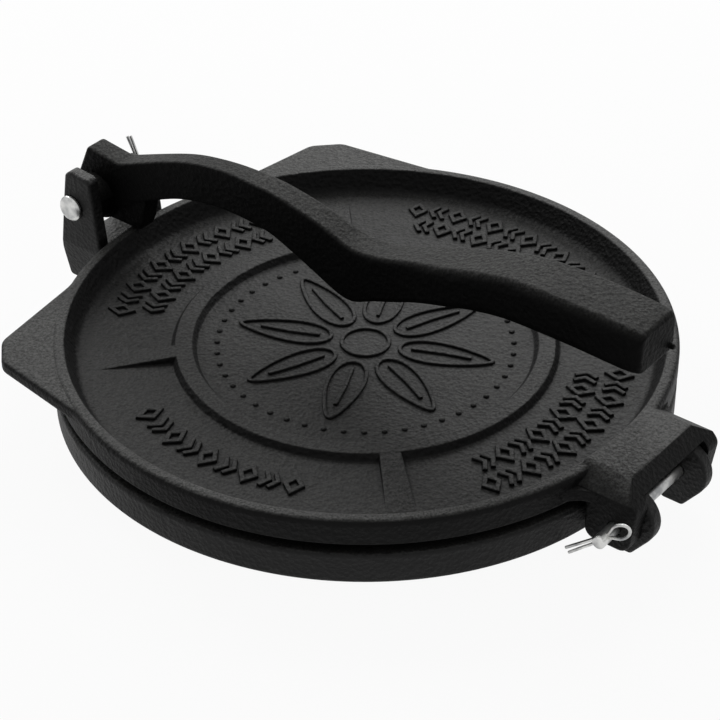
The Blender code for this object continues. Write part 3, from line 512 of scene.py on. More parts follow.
@dataclass(frozen=True)
class SeasonedIron:
    """Grey iron cast in sand, tumbled and baked with a thin coat of oil.

    The sand leaves a fine even grain. The baked oil is a black coat. Light and shade are painted
    on it: the faces that look up are painted paler grey as painted light, corners are painted black as
    painted shade, and a low recess floor can be painted darker as painted shade of its rim.
    """

    name: str
    # Painted light: the first two greys are painted on the faces that look up; the film is the real black coat.
    lit_top: str = "#333332"
    lit_top_pale: str = "#424241"
    film: str = "#070707"
    # Painted shade: the black painted into corners.
    corner_shade: str = "#020202"
    roughness: float = 0.50
    shine: float = 0.11
    # Painted light: from how far a face looks up it is painted paler grey.
    lit_top_from: float = 0.84
    lit_top_to: float = 1.08
    # Painted shade: a floor below these heights is painted darker by this share.
    recess_shade_share: float = 1.0
    recess_shade_low: float = 0.0313
    recess_shade_high: float = 0.0365
    sand_grain: float = 0.95
    sand_height: float = 0.00034
    grit_grain: float = 2.1
    grit_height: float = 0.00050
    wave_grain: float = 8.0
    wave_height: float = 0.00030
    wave_share: float = 0.24
    cloud_grain: float = 38.0
    edge_radius: float = 0.0008
    corner_shade_reach: float = 0.0065

    def make(self) -> Material:
        """Builds the material."""
        material, add, shader = new_material(self.name)
        coordinates = add("ShaderNodeTexCoord").outputs
        place = coordinates["Object"]
        # The sand's grains are 0.2 to 0.3 mm; they are drawn coarser so that they show in the picture.
        sand = add("ShaderNodeTexNoise", {
            "Vector": place, "Scale": mm_scale(self.sand_grain), "Detail": 3.0, "Roughness": 0.65})
        grit = add("ShaderNodeTexVoronoi", {
            "Vector": place, "Scale": mm_scale(self.sand_grain * self.grit_grain)})
        wave = add("ShaderNodeTexNoise", {"Vector": place, "Scale": mm_scale(self.wave_grain), "Detail": 2.0})
        cloud = add("ShaderNodeTexNoise", {
            "Vector": place, "Scale": mm_scale(self.cloud_grain), "Detail": 4.0, "Roughness": 0.62})
        # Painted light: the paler grey for the faces that look up, in soft random clouds.
        lit_top = tone_ramp(add, cloud, ((0.34, self.lit_top), (0.68, self.lit_top_pale)))
        # Sand grains: the grain's tops are paler and the pits between them stay black, on the painted light of
        # the top tone.
        grain = add("ShaderNodeMapRange", {
            "Value": sand, "From Min": 0.36, "From Max": 0.64, "To Min": 0.35, "To Max": 1.55})
        grained_lit_top = add("ShaderNodeMix", {
            "Factor": 1.0, 6: lit_top, 7: grain}, data_type="RGBA", blend_type="MULTIPLY").outputs[2]
        # Painted shade: below the rim's height the colour is darkened, so a recess floor is painted darker than
        # the rim round it.
        height = add("ShaderNodeSeparateXYZ", {0: place}).outputs["Z"]
        recess_shade = add("ShaderNodeMapRange", {
            "Value": height, "From Min": self.recess_shade_low, "From Max": self.recess_shade_high, "To Min": self.recess_shade_share})
        recess_shaded = add("ShaderNodeMix", {
            "Factor": 1.0, 6: grained_lit_top, 7: recess_shade}, data_type="RGBA", blend_type="MULTIPLY").outputs[2]
        # Painted light: the share of paler grey follows how far the face looks up, blurred by the castings'
        # waves; upright faces keep the black coat.
        upward = add("ShaderNodeSeparateXYZ", {0: coordinates["Normal"]}).outputs["Z"]
        lean = add("ShaderNodeMath", {0: wave, 1: self.wave_share, 2: upward}, operation="MULTIPLY_ADD")
        lit_top_share = add("ShaderNodeMapRange", {"Value": lean, "From Min": self.lit_top_from, "From Max": self.lit_top_to})
        coat_and_lit_top = add("ShaderNodeMix", {"Factor": lit_top_share, 6: srgb(self.film), 7: recess_shaded}, data_type="RGBA").outputs[2]
        # Painted shade: corners and crevices, found by ambient occlusion, are painted black.
        corner = add("ShaderNodeAmbientOcclusion", {"Distance": self.corner_shade_reach}, samples=6).outputs["AO"]
        unshaded_share = add("ShaderNodeMapRange", {
            "Value": corner, "From Min": 0.35, "From Max": 0.92, "To Min": 0.05})
        colour = add("ShaderNodeMix", {
            "Factor": unshaded_share, 6: srgb(self.corner_shade), 7: coat_and_lit_top}, data_type="RGBA").outputs[2]
        matt = add("ShaderNodeMapRange", {
            "Value": cloud, "From Min": 0.3, "From Max": 0.7,
            "To Min": self.roughness - 0.05, "To Max": self.roughness + 0.07})
        # Rounded edges, the waves of the casting, then grit, then sand.
        normal = add("ShaderNodeBevel", {"Radius": self.edge_radius}, samples=6)
        for pattern, strength, distance in ((wave, 1.0, self.wave_height), (grit, 0.7, self.grit_height),
                                            (sand, 1.0, self.sand_height)):
            normal = add("ShaderNodeBump", {
                "Height": pattern, "Strength": strength, "Distance": distance, "Normal": normal})
        wire_up(shader, {"Base Color": colour, "Specular IOR Level": self.shine, "Roughness": matt,
                         "IOR": 1.45, "Normal": normal})
        return material


@dataclass(frozen=True)
class ZincPlatedSteel:
    """Drawn steel wire and bar with bright zinc plating.

    The plating is a clean silver with a soft gloss, with faint drawing lines and small dull spots.
    """

    name: str
    bright: str = "#cfcfcd"
    dull: str = "#8f9091"
    roughness: float = 0.30
    dull_roughness: float = 0.42
    spot_grain: float = 5.0
    line_grain: float = 0.7
    line_height: float = 0.00003

    def make(self) -> Material:
        """Builds the material."""
        material, add, shader = new_material(self.name)
        place = add("ShaderNodeTexCoord").outputs["Object"]
        spots = add("ShaderNodeTexNoise", {"Vector": place, "Scale": mm_scale(self.spot_grain), "Detail": 3.0})
        colour = tone_ramp(add, spots, ((0.30, self.dull), (0.62, self.bright)))
        gloss = add("ShaderNodeMapRange", {
            "Value": spots, "From Min": 0.3, "From Max": 0.65,
            "To Min": self.dull_roughness, "To Max": self.roughness})
        fine = add("ShaderNodeTexNoise", {"Vector": place, "Scale": mm_scale(self.line_grain), "Detail": 2.0})
        bump = add("ShaderNodeBump", {"Height": fine, "Strength": 0.5, "Distance": self.line_height})
        wire_up(shader, {"Base Color": colour, "Metallic": 1.0, "Roughness": gloss, "Normal": bump})
        return material


@dataclass(frozen=True)
class StudioPaper:
    """Matt white paper below the press: it keeps a soft shadow and otherwise shows as white."""

    name: str = "studio_paper"
    paper: str = "#c4c4c4"
    shadow_share: float = 0.06

    def make(self) -> Material:
        """Builds the material."""
        material, add, _ = new_material(self.name)
        tree = material.node_tree
        tree.nodes.clear()
        matt = add("ShaderNodeBsdfDiffuse", {"Color": srgb(self.paper)})
        white = add("ShaderNodeEmission", {"Color": (1, 1, 1, 1), "Strength": 1.0})
        share = add("ShaderNodeMath", {0: seen_share(tree), 1: 1 - self.shadow_share}, operation="MULTIPLY")
        mixed = add("ShaderNodeMixShader", {0: share, 1: matt, 2: white})
        add("ShaderNodeOutputMaterial", {"Surface": mixed})
        return material


def seen_share(tree: NodeTree) -> Any:
    """Adds a value that is 1 for what the camera, a mirror or glass sees.

    Args:
        tree: The tree that gets the nodes.

    Returns:
        The value's socket.
    """
    rays = add_node(tree, "ShaderNodeLightPath").outputs
    seen = rays["Is Camera Ray"]
    for kind in ("Is Glossy Ray", "Is Transmission Ray"):
        seen = add_node(tree, "ShaderNodeMath", {0: seen, 1: rays[kind]}, operation="MAXIMUM").outputs[0]
    return seen


@dataclass
class Finishes:
    """All the finishes of the press."""

    base: Material = field(default_factory=lambda: SeasonedIron(
        "sand_cast_iron_base", film="#0b0b0b", shine=0.21).make())
    # The plate's low recess floor gets painted shade.
    plate: Material = field(default_factory=lambda: SeasonedIron(
        "sand_cast_iron_plate", film="#040404", recess_shade_share=0.47).make())
    # The lever's painted light on its tops fades in over a wider turn of the face.
    lever: Material = field(default_factory=lambda: SeasonedIron(
        "sand_cast_iron_lever", lit_top="#282827", lit_top_pale="#3a3a39", film="#040404", roughness=0.58, shine=0.06,
        lit_top_from=0.40, lit_top_to=1.10, sand_grain=1.1, sand_height=0.00040).make())
    pin: Material = field(default_factory=lambda: ZincPlatedSteel("zinc_plated_steel_pin").make())
    wire: Material = field(default_factory=lambda: ZincPlatedSteel("zinc_plated_steel_wire").make())


def dress(item: Object, material: Material, body: str) -> Object:
    """Gives a piece its material and its body, and reports it.

    Args:
        item: The piece.
        material: Its material.
        body: The CAD body that it rides on.

    Returns:
        The piece.
    """
    item.data.materials.clear()
    item.data.materials.append(material)
    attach(item, body)
    LOG.info("%s: %d faces on body %s", item.name, len(item.data.polygons), body)
    return item


# The relief of the upper plate

class RelievedField(Enum):
    """The four sunk fields of the upper plate, by the angle of their middle in degrees."""

    FRONT = -90.0
    RIGHT = 0.0
    REAR = 90.0
    LEFT = 180.0


class Motif(Enum):
    """The raised motifs that are repeated in rows."""

    LOZENGE = "lozenge_motif"
    CHEVRON = "chevron_motif"
    BEAD = "bead_motif"


@dataclass(frozen=True)
class MotifRow:
    """A row of one raised motif along an arc, with its sweep in degrees, made with Geometry Nodes."""

    motif: Motif
    radius: float
    count: int
    sweep: float

    def tree(self, motif: Object) -> NodeTree:
        """Builds the node tree that repeats a motif along an arc.

        Args:
            motif: The object that is repeated, with its foot towards +X.

        Returns:
            The tree.
        """
        tree = bpy.data.node_groups.new("motif_row", "GeometryNodeTree")
        add = partial(add_node, tree)
        for name, kind in (("Geometry", "Geometry"), ("Radius", "Float"), ("Count", "Int"), ("Start", "Float"),
                           ("Sweep", "Float"), ("Height", "Float"), ("Material", "Material")):
            tree.interface.new_socket(name, in_out="INPUT", socket_type=f"NodeSocket{kind}")
        tree.interface.new_socket("Geometry", in_out="OUTPUT", socket_type="NodeSocketGeometry")
        given = add("NodeGroupInput").outputs
        line = add("GeometryNodeMeshLine", {"Count": given["Count"]}, mode="OFFSET")
        last = add("ShaderNodeMath", {0: given["Count"], 1: 1.0}, operation="SUBTRACT")
        share = add("ShaderNodeMath", {0: add("GeometryNodeInputIndex"), 1: last}, operation="DIVIDE")
        angle = add("ShaderNodeMath", {0: share, 1: given["Sweep"], 2: given["Start"]}, operation="MULTIPLY_ADD")
        spot = {"Z": given["Height"]}
        for axis, wave in (("X", "COSINE"), ("Y", "SINE")):
            part = add("ShaderNodeMath", {0: angle}, operation=wave)
            spot[axis] = add("ShaderNodeMath", {0: part, 1: given["Radius"]}, operation="MULTIPLY")
        places = add("GeometryNodeSetPosition", {
            "Geometry": line, "Position": add("ShaderNodeCombineXYZ", spot)})
        shape = add("GeometryNodeObjectInfo", {"Object": motif}, transform_space="ORIGINAL").outputs["Geometry"]
        copies = add("GeometryNodeInstanceOnPoints", {
            "Points": places, "Instance": shape, "Rotation": add("ShaderNodeCombineXYZ", {"Z": angle})})
        real = add("GeometryNodeRealizeInstances", {"Geometry": copies})
        painted = add("GeometryNodeSetMaterial", {"Geometry": real, "Material": given["Material"]})
        add("NodeGroupOutput", {"Geometry": painted})
        return tree

    def build(self, name: str, motif: Object, middle: float, height: float, material: Material) -> Object:
        """Makes the row as a plain mesh.

        Args:
            name: The row's name.
            motif: The object that is repeated.
            middle: The direction of the row's middle, in degrees.
            height: The height of the face that it stands on.
            material: The row's material.

        Returns:
            The row.
        """
        item = new_object(name, bmesh.new())
        tree = self.tree(motif)
        step = item.modifiers.new("row", "NODES")
        step.node_group = tree
        values = {"Radius": self.radius, "Count": self.count, "Start": math.radians(middle - self.sweep / 2),
                  "Sweep": math.radians(self.sweep), "Height": height, "Material": material}
        for socket in tree.interface.items_tree:
            if socket.in_out == "INPUT" and socket.name in values:
                step[socket.identifier] = values[socket.name]
        settle(item)
        bpy.data.node_groups.remove(tree)
        return item


@dataclass
class PlateRelief:
    """The plain ornament in the four fields and in the medallion of the upper plate."""

    floor: float
    motif_line: Ridge = Ridge(0.0019, 0.0012)
    motif_half: float = 0.0046
    lozenge_half: float = 0.0033
    chevron_gap: float = 0.0019
    chevron_rise: float = 0.0014
    bead_radius: float = 0.0013
    bead_flatness: float = 0.75
    two_rows: tuple[MotifRow, ...] = (
        MotifRow(Motif.LOZENGE, 0.1075, 6, 50.0), MotifRow(Motif.CHEVRON, 0.1075, 5, 40.0),
        MotifRow(Motif.CHEVRON, 0.0945, 5, 44.0), MotifRow(Motif.LOZENGE, 0.0945, 4, 33.0))
    one_row: tuple[MotifRow, ...] = (
        MotifRow(Motif.LOZENGE, 0.1005, 5, 44.0), MotifRow(Motif.CHEVRON, 0.1005, 4, 33.0))
    beads: MotifRow = MotifRow(Motif.BEAD, 0.0625, 48, 352.5)
    rosette_line: Ridge = Ridge(0.0015, 0.0010)
    leaf_count: int = 8
    leaf_steps: int = 32
    leaf_start: float = 0.0150
    leaf_length: float = 0.0400
    leaf_swell: float = 0.0095
    leaf_body: float = 0.62
    leaf_taper: float = 0.6
    midrib: tuple[tuple[float, float], ...] = ((0.0200, 0.0), (0.0330, 0.0006), (0.0460, 0.0))
    boss_radius: float = 0.0100
    boss_steps: int = 48

    def motifs(self) -> dict[Motif, Object]:
        """Makes the raised motifs at the origin."""
        half = self.motif_half
        side = self.lozenge_half
        shapes = {motif: bmesh.new() for motif in Motif}
        outline = points((half, 0), (0, side), (-half, 0), (0, -side))
        self.motif_line.sweep(shapes[Motif.LOZENGE], outline, True, Matrix.Identity(4))
        for shift in (-self.chevron_gap, self.chevron_gap):
            low = shift - self.chevron_rise
            path = points((-half, low), (0, shift + self.chevron_rise), (half, low))
            self.motif_line.sweep(shapes[Motif.CHEVRON], path, False, Matrix.Identity(4))
        bmesh.ops.create_icosphere(shapes[Motif.BEAD], subdivisions=2, radius=self.bead_radius,
                                   matrix=Matrix.Diagonal((1, 1, self.bead_flatness, 1)))
        return {motif: new_object(motif.value, shape) for motif, shape in shapes.items()}

    def rosette(self) -> Object:
        """Makes a plain rosette of leaf outlines with midribs in the medallion."""
        shape = bmesh.new()
        line = self.rosette_line
        lift = Matrix.Translation((0, 0, self.floor))
        angles = [math.tau * step / self.leaf_steps for step in range(self.leaf_steps)]
        leaf = []
        for angle in angles:
            along = 0.5 - 0.5 * math.cos(angle)
            body = self.leaf_body + (1 - self.leaf_body) * math.cos(angle)
            swell = math.sin(angle) * body ** self.leaf_taper
            leaf.append(Vector((self.leaf_start + self.leaf_length * along, self.leaf_swell * swell)))
        for index in range(self.leaf_count):
            where = lift @ Matrix.Rotation(math.tau * (index + 0.5) / self.leaf_count, 4, "Z")
            line.sweep(shape, leaf, True, where)
            line.sweep(shape, points(*self.midrib), False, where)
        steps = self.boss_steps
        boss = arc((0, 0), self.boss_radius, 0, math.tau * (steps - 1) / steps, steps - 1)
        line.sweep(shape, boss, True, lift)
        return new_object("medallion_rosette", shape)

    def build(self, finish: Finishes) -> None:
        """Builds the pieces of relief and dresses them.

        Args:
            finish: The press's finishes.
        """
        motifs = self.motifs()
        pieces = []
        for place in RelievedField:
            plan = self.one_row if place is RelievedField.RIGHT else self.two_rows
            rows = [row.build("row", motifs[row.motif], place.value, self.floor, finish.plate) for row in plan]
            pieces.append(merge(f"field_relief_{place.name.lower()}", rows))
        pieces.append(self.beads.build("medallion_beads", motifs[Motif.BEAD], self.beads.sweep / 2,
                                       self.floor, finish.plate))
        for motif in motifs.values():
            bpy.data.objects.remove(motif, do_unlink=True)
        pieces.append(self.rosette())
        for piece in pieces:
            smooth(piece, 50.0)
            dress(piece, finish.plate, "plate")


# The press

@dataclass(frozen=True)
class PinPlace:
    """The place and the radius of a pin along X."""

    y: float
    z: float
    radius: float

    def bore(self) -> Object:
        """Makes the cutter of the bore that the pin runs in."""
        radius = self.radius + PLAY
        path = points((0, FAR), (radius, FAR), (radius, -FAR), (0, -FAR))
        return moved(revolve("pin_bore", path, 48), (0, self.y, self.z), 90, "Y")

    def outline(self, corners: Sequence[Corner]) -> list[Vector]:
        """Rounds a closed outline of Y and Z whose corners are given from the pin's axis."""
        return rounded([Corner(self.y + c.x, self.z + c.y, c.radius) for c in corners], True)


@dataclass(frozen=True)
class Layout:
    """Heights and places that the castings share."""

    plate_radius: float = 0.1310
    skirt_bottom: float = 0.0080
    base_top: float = 0.0220
    press_face: float = 0.0223
    rim_bottom: float = 0.0267
    rim_top: float = 0.0380
    recess_floor: float = 0.0280
    lever_pin: PinPlace = PinPlace(-0.1482, 0.0490, 0.0040)
    hinge_pin: PinPlace = PinPlace(0.1444, 0.0200, 0.0028)


@dataclass
class UpperPlate:
    """The upper casting: plate, rim, ring, spokes, lifting tabs and hinge bridge."""

    layout: Layout
    rim_width: float = 0.0053
    rim_round: float = 0.0030
    inner_round: float = 0.0011
    under_round: float = 0.0010
    wall_run: float = 0.0048
    wall_foot_round: float = 0.0046
    ring_inner: float = 0.0728
    ring_outer: float = 0.0798
    ring_height: float = 0.0030
    ring_run: float = 0.0020
    ring_root_round: float = 0.0012
    ring_round: float = 0.0009
    press_disc: float = 0.1232
    disc_run: float = 0.0014
    disc_root_round: float = 0.0008
    disc_round: float = 0.0006
    spoke_inner: float = 0.0086
    spoke_outer: float = 0.0128
    spoke_end: float = 0.1205
    spoke_drop: float = 0.0001
    spoke_end_drop: float = 0.0006
    spoke_flare: float = 0.0009
    spoke_round: float = 0.0006
    tab_reach: float = 0.1515
    tab_tip_half: float = 0.0078
    tab_side_angle: float = math.radians(36.9)
    tab_tip_round: float = 0.0080
    tab_root_round: float = 0.0300
    tab_root_inset: float = 0.0032
    tab_thickness: float = 0.0060
    tab_drop: float = 0.0006
    tab_edge: float = 0.0019
    cheek_outer: float = 0.0305
    cheek_inner: float = 0.0225
    cheek_edge: float = 0.0013
    bridge_side: tuple[Corner, ...] = (
        Corner(-0.0270, 0.0072), Corner(-0.0270, 0.0196), Corner(0.0010, 0.0196, 0.0012),
        Corner(0.0096, 0.0106, 0.0050), Corner(0.0066, -0.0100, 0.0052), Corner(-0.0135, -0.0100, 0.0048),
        Corner(-0.0135, 0.0072))
    bridge_top: float = 0.0396
    bridge_roof: float = 0.0336
    shoulder_from: float = 0.0210
    shoulder_fall: float = 0.0064
    shoulder_over: float = 0.0060
    channel_front: float = 0.0140
    channel_round: float = 0.0008
    recess_margin: float = 0.0008
    gusset_round: float = 0.0120
    gusset_inset: float = 0.0025
    gusset_lift: float = 0.0008
    gusset_drop: float = 0.0052
    gusset_edge: float = 0.0006

    def profile(self) -> list[Vector]:
        """Gives the turned outline as radius and height."""
        at = self.layout
        floor = at.recess_floor
        ring_top = floor + self.ring_height
        inner = at.plate_radius - self.rim_width
        return rounded([
            Corner(0, floor),
            Corner(self.ring_inner - self.ring_run, floor, self.ring_root_round),
            Corner(self.ring_inner, ring_top, self.ring_round),
            Corner(self.ring_outer, ring_top, self.ring_round),
            Corner(self.ring_outer + self.ring_run, floor, self.ring_root_round),
            Corner(inner - self.wall_run, floor, self.wall_foot_round),
            Corner(inner, at.rim_top, self.inner_round),
            Corner(at.plate_radius, at.rim_top, self.rim_round),
            Corner(at.plate_radius, at.rim_bottom, self.under_round),
            Corner(self.press_disc, at.rim_bottom, self.disc_root_round),
            Corner(self.press_disc - self.disc_run, at.press_face, self.disc_round),
            Corner(0, at.press_face)])

    def spoke(self, angle: float) -> Object:
        """Makes one raised spoke that fades into the floor towards the rim.

        Args:
            angle: Its direction, in degrees.

        Returns:
            The spoke.
        """
        floor = self.layout.recess_floor
        sink = floor - self.ring_height
        top = floor + self.ring_height - self.spoke_drop
        shape = bmesh.new()
        rows = []
        for radius, width, height in (((self.ring_inner + self.ring_outer) / 2, self.spoke_inner, top),
                                      (self.ring_outer, self.spoke_inner, top),
                                      (self.spoke_end, self.spoke_outer, floor - self.spoke_end_drop)):
            half = width / 2
            flare = self.spoke_flare * (height - sink) / (top - sink)
            section = rounded([Corner(-half - flare, sink), Corner(-half, height, self.spoke_round),
                               Corner(half, height, self.spoke_round), Corner(half + flare, sink)], False, 30.0)
            rows.append([shape.verts.new((radius, p.x, p.y)) for p in section])
        skin(shape, rows, capped=True)
        return moved(new_object("spoke", shape), (0, 0, 0), angle)

    def tab(self, angle: float) -> Object:
        """Makes one lifting tab.

        Args:
            angle: Its direction, in degrees.

        Returns:
            The tab.
        """
        at = self.layout
        side = Vector((-math.sin(self.tab_side_angle), math.cos(self.tab_side_angle)))
        outward = Vector((math.cos(self.tab_side_angle), math.sin(self.tab_side_angle)))
        corner = Vector((self.tab_reach, self.tab_tip_half))
        offset = corner.dot(outward) + self.tab_root_round
        reach = at.plate_radius + self.tab_root_round
        root = outward * offset - side * math.sqrt(reach * reach - offset * offset)
        ring_end = root * at.plate_radius / reach
        upper = swing(root, -outward * self.tab_root_round, ring_end - root, 10)
        tip = rounded([
            Corner(*upper[0]), Corner(*corner, self.tab_tip_round),
            Corner(corner.x, -corner.y, self.tab_tip_round), Corner(upper[0].x, -upper[0].y)], False, 8.0)
        root_angle = math.atan2(ring_end.y, ring_end.x)
        inner = arc((0, 0), at.plate_radius - self.tab_root_inset, -root_angle, root_angle, 24)
        lower = [Vector((p.x, -p.y)) for p in upper[1:]]
        outline = list(reversed(upper[1:])) + tip + lower + inner
        item = slab("lifting_tab", outline, self.tab_thickness, self.tab_edge, 4)
        return moved(item, (0, 0, at.rim_top - self.tab_drop - self.tab_thickness / 2), angle)

    def bridge(self) -> Object:
        """Makes the hinge bridge with its cheeks, sloping shoulders and open channel."""
        at = self.layout
        pin = at.hinge_pin
        top = self.bridge_top
        body = side_slab("hinge_bridge", pin.outline(self.bridge_side), -self.cheek_outer, self.cheek_outer,
                         self.cheek_edge)
        cutters = []
        for side in (-1, 1):
            fall = self.shoulder_fall / (self.cheek_outer - self.shoulder_from)
            over = self.shoulder_from - self.shoulder_over
            wide = self.cheek_outer + FAR
            wedge = points((side * over, top + fall * self.shoulder_over),
                           (side * wide, top - fall * (wide - self.shoulder_from)),
                           (side * wide, top + FAR), (side * over, top + FAR))
            cutters.append(cross_slab("shoulder_cut", wedge, pin.y, 4 * FAR))
        low = pin.z + self.bridge_side[-2].y - FAR
        channel = rounded([
            Corner(-self.cheek_inner, low), Corner(self.cheek_inner, low),
            Corner(self.cheek_inner, self.bridge_roof, self.channel_round),
            Corner(-self.cheek_inner, self.bridge_roof, self.channel_round)], True)
        cutters.append(cross_slab("channel_cut", channel, pin.y - self.channel_front + FAR, 2 * FAR))
        inner = at.plate_radius - self.rim_width + self.recess_margin
        floor = at.rim_bottom - self.under_round
        recess = points((0, top + FAR), (inner, top + FAR), (inner, floor), (0, floor))
        cutters.append(revolve("recess_cut", recess))
        join(body, cutters, Joining.CUT)
        return join(body, [self.gusset(-1), self.gusset(1)], Joining.ADD)

    def gusset(self, side: int) -> Object:
        """Makes the hollow web between the rim and one cheek.

        Args:
            side: Its side, -1 or 1.

        Returns:
            The web.
        """
        at = self.layout
        reach = at.plate_radius + self.gusset_round
        across = self.cheek_outer + self.gusset_round
        centre = Vector((across, math.sqrt(reach * reach - across * across)))
        ring_end = centre * at.plate_radius / reach
        inner = at.plate_radius - self.gusset_inset
        foot = self.cheek_outer - self.gusset_inset
        outline = swing(centre, ring_end - centre, Vector((-self.gusset_round, 0)), 12)
        outline += points((foot, centre.y), (foot, math.sqrt(inner * inner - foot * foot)),
                          ring_end * inner / at.plate_radius)
        low = at.rim_bottom + self.gusset_lift
        high = at.rim_top - self.gusset_drop
        web = slab("bridge_gusset", [Vector((side * p.x, p.y)) for p in outline], high - low, self.gusset_edge)
        return moved(web, (0, 0, (high + low) / 2))

    def build(self, finish: Finishes) -> None:
        """Builds the casting with its relief and dresses it.

        Args:
            finish: The press's finishes.
        """
        plate = revolve("upper_casting", self.profile())
        spokes = [self.spoke(angle) for angle in (45, 135, 225, 315)]
        tabs = [self.tab(angle) for angle in (-45, -135)]
        join(plate, [*spokes, *tabs, self.bridge()], Joining.ADD)
        join(plate, [self.layout.hinge_pin.bore()], Joining.CUT)
        smooth(plate)
        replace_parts(dress(plate, finish.plate, "plate"), "upper_plate")
        PlateRelief(self.layout.recess_floor).build(finish)


@dataclass
class BasePlate:
    """The lower casting: plate, skirt, ribs, feet, lever clevis and hinge lugs."""

    layout: Layout
    wall: float = 0.0045
    skirt_wall: float = 0.0052
    skirt_round: float = 0.0016
    skirt_inner_round: float = 0.0009
    skirt_root_round: float = 0.0020
    draft: float = 0.0010
    rib_ring: float = 0.0600
    rib_width: float = 0.0050
    rib_depth: float = 0.0050
    rib_round: float = 0.0010
    rib_root_round: float = 0.0014
    rib_edge: float = 0.0008
    rib_lift: float = 0.0013
    rib_count: int = 8
    root_overlap: float = 0.0015
    foot_circle: float = 0.1020
    foot_radius: float = 0.0085
    foot_run: float = 0.0020
    foot_round: float = 0.0012
    foot_count: int = 4
    clevis_half: float = 0.0210
    gap_half: float = 0.0155
    gap_floor: float = 0.0250
    gap_round: float = 0.0026
    ear_round: float = 0.0016
    near_ear: tuple[Corner, ...] = (
        Corner(-0.0090, -0.0406, 0.0015), Corner(0.0290, -0.0406), Corner(0.0290, -0.0282),
        Corner(0.0155, -0.0282), Corner(0.0155, -0.0200, 0.0020), Corner(0.0114, 0.0168, 0.0030),
        Corner(-0.0004, 0.0180, 0.0028), Corner(-0.0036, 0.0156, 0.0024), Corner(-0.0065, -0.0024, 0.0060),
        Corner(-0.0090, -0.0200, 0.0050))
    over_far_ear: tuple[Corner, ...] = (
        Corner(-0.0081, 0.0023), Corner(-0.0026, 0.0078, 0.0040), Corner(0.0096, 0.0078, 0.0040),
        Corner(0.0151, 0.0023), Corner(0.0151, 0.0733), Corner(-0.0081, 0.0733))
    neck_bottom: float = 0.0084
    neck_top: float = 0.0290
    neck_run: float = 0.0045
    lug_outer: float = 0.0220
    lug_inner: float = 0.0160
    lug_radius: float = 0.0128
    lug_edge: float = 0.0011
    lug_rear: tuple[float, float] = (0.0030, -0.0170)
    lug_foot: tuple[tuple[float, float], ...] = (
        (0.0030, -0.0170), (-0.0060, -0.0170), (-0.0128, -0.0116), (-0.0240, -0.0116), (-0.0240, -0.0010),
        (-0.0128, -0.0010))
    notch_half: float = 0.0322
    notch_reach: float = 0.0160

    def profile(self) -> list[Vector]:
        """Gives the turned outline as radius and height."""
        at = self.layout
        ceiling = at.base_top - self.wall
        inside = at.plate_radius - self.skirt_wall
        outer = self.rib_ring + self.rib_width / 2
        inner = self.rib_ring - self.rib_width / 2
        return rounded([
            Corner(0, at.base_top),
            Corner(at.plate_radius, at.base_top, self.skirt_round),
            Corner(at.plate_radius, at.skirt_bottom, self.skirt_round),
            Corner(inside, at.skirt_bottom, self.skirt_inner_round),
            Corner(inside - self.draft, ceiling, self.skirt_root_round),
            Corner(outer + self.draft, ceiling, self.rib_root_round),
            Corner(outer, ceiling - self.rib_depth, self.rib_round),
            Corner(inner, ceiling - self.rib_depth, self.rib_round),
            Corner(inner - self.draft, ceiling, self.rib_root_round),
            Corner(0, ceiling)])

    def clevis(self) -> Object:
        """Makes the two ears for the lever pin on a neck that narrows downwards."""
        pin = self.layout.lever_pin
        half = self.clevis_half
        body = side_slab("clevis_block", pin.outline(self.near_ear), -half, half, self.ear_round)
        cutters = []
        fall = self.neck_top - self.neck_bottom
        low = self.neck_top - 2 * fall
        high = self.neck_top + fall
        for side in (-1, 1):
            wedge = points((side * (half + self.neck_run), high), (side * (half - 2 * self.neck_run), low),
                           (side * (half + FAR), low), (side * (half + FAR), high))
            cutters.append(cross_slab("neck_taper", wedge, pin.y, 2 * FAR))
        slot_top = pin.z + self.near_ear[6].y + FAR
        slot = rounded([
            Corner(-self.gap_half, self.gap_floor, self.gap_round), Corner(self.gap_half, self.gap_floor,
                                                                           self.gap_round),
            Corner(self.gap_half, slot_top), Corner(-self.gap_half, slot_top)], True)
        cutters.append(cross_slab("clevis_slot", slot, pin.y, 2 * FAR))
        cutters.append(side_slab("far_ear_cut", pin.outline(self.over_far_ear), -FAR, 0))
        return join(body, cutters, Joining.CUT)

    def lug(self, side: int) -> Object:
        """Makes one hinge lug.

        Args:
            side: Its side, -1 or 1.

        Returns:
            The lug.
        """
        pin = self.layout.hinge_pin
        rear = Vector(self.lug_rear)
        last = math.atan2(rear.y, rear.x) + math.acos(self.lug_radius / rear.length)
        outline = arc((pin.y, pin.z), self.lug_radius, math.pi, last, 26)
        outline += points(*((pin.y + y, pin.z + z) for y, z in self.lug_foot))
        ends = sorted((side * self.lug_inner, side * self.lug_outer))
        return side_slab("hinge_lug", outline, *ends, self.lug_edge)

    def rib(self, index: int) -> Object:
        """Makes one of the ribs below the plate."""
        end = self.layout.plate_radius - self.skirt_wall + self.root_overlap
        half = self.rib_width / 2
        outline = points((self.rib_ring, -half), (end, -half), (end, half), (self.rib_ring, half))
        item = slab("rib", outline, self.rib_depth + self.draft, self.rib_edge)
        lift = self.layout.base_top - self.wall - self.rib_depth / 2 + self.rib_lift
        return moved(item, (0, 0, lift), 360 * (index + 0.5) / self.rib_count)

    def foot(self, index: int) -> Object:
        """Makes one of the feet, which stand on the floor."""
        angle = math.tau * (index + 0.5) / self.foot_count
        top = self.layout.base_top - self.wall + self.root_overlap
        item = revolve("foot", rounded([
            Corner(0, top), Corner(self.foot_radius + self.foot_run, top),
            Corner(self.foot_radius, 0, self.foot_round), Corner(0, 0)]), 64)
        return moved(item, (self.foot_circle * math.cos(angle), self.foot_circle * math.sin(angle), 0))

    def notch(self, side: int) -> Object:
        """Makes the cutter that leaves room for one cheek of the upper plate."""
        at = self.layout
        front, back = at.hinge_pin.y - self.notch_reach, at.hinge_pin.y + FAR
        low, high = at.skirt_bottom - FAR, at.base_top + FAR
        ends = sorted((side * self.notch_half, side * self.lug_inner))
        return side_slab("notch", points((front, low), (back, low), (back, high), (front, high)), *ends)

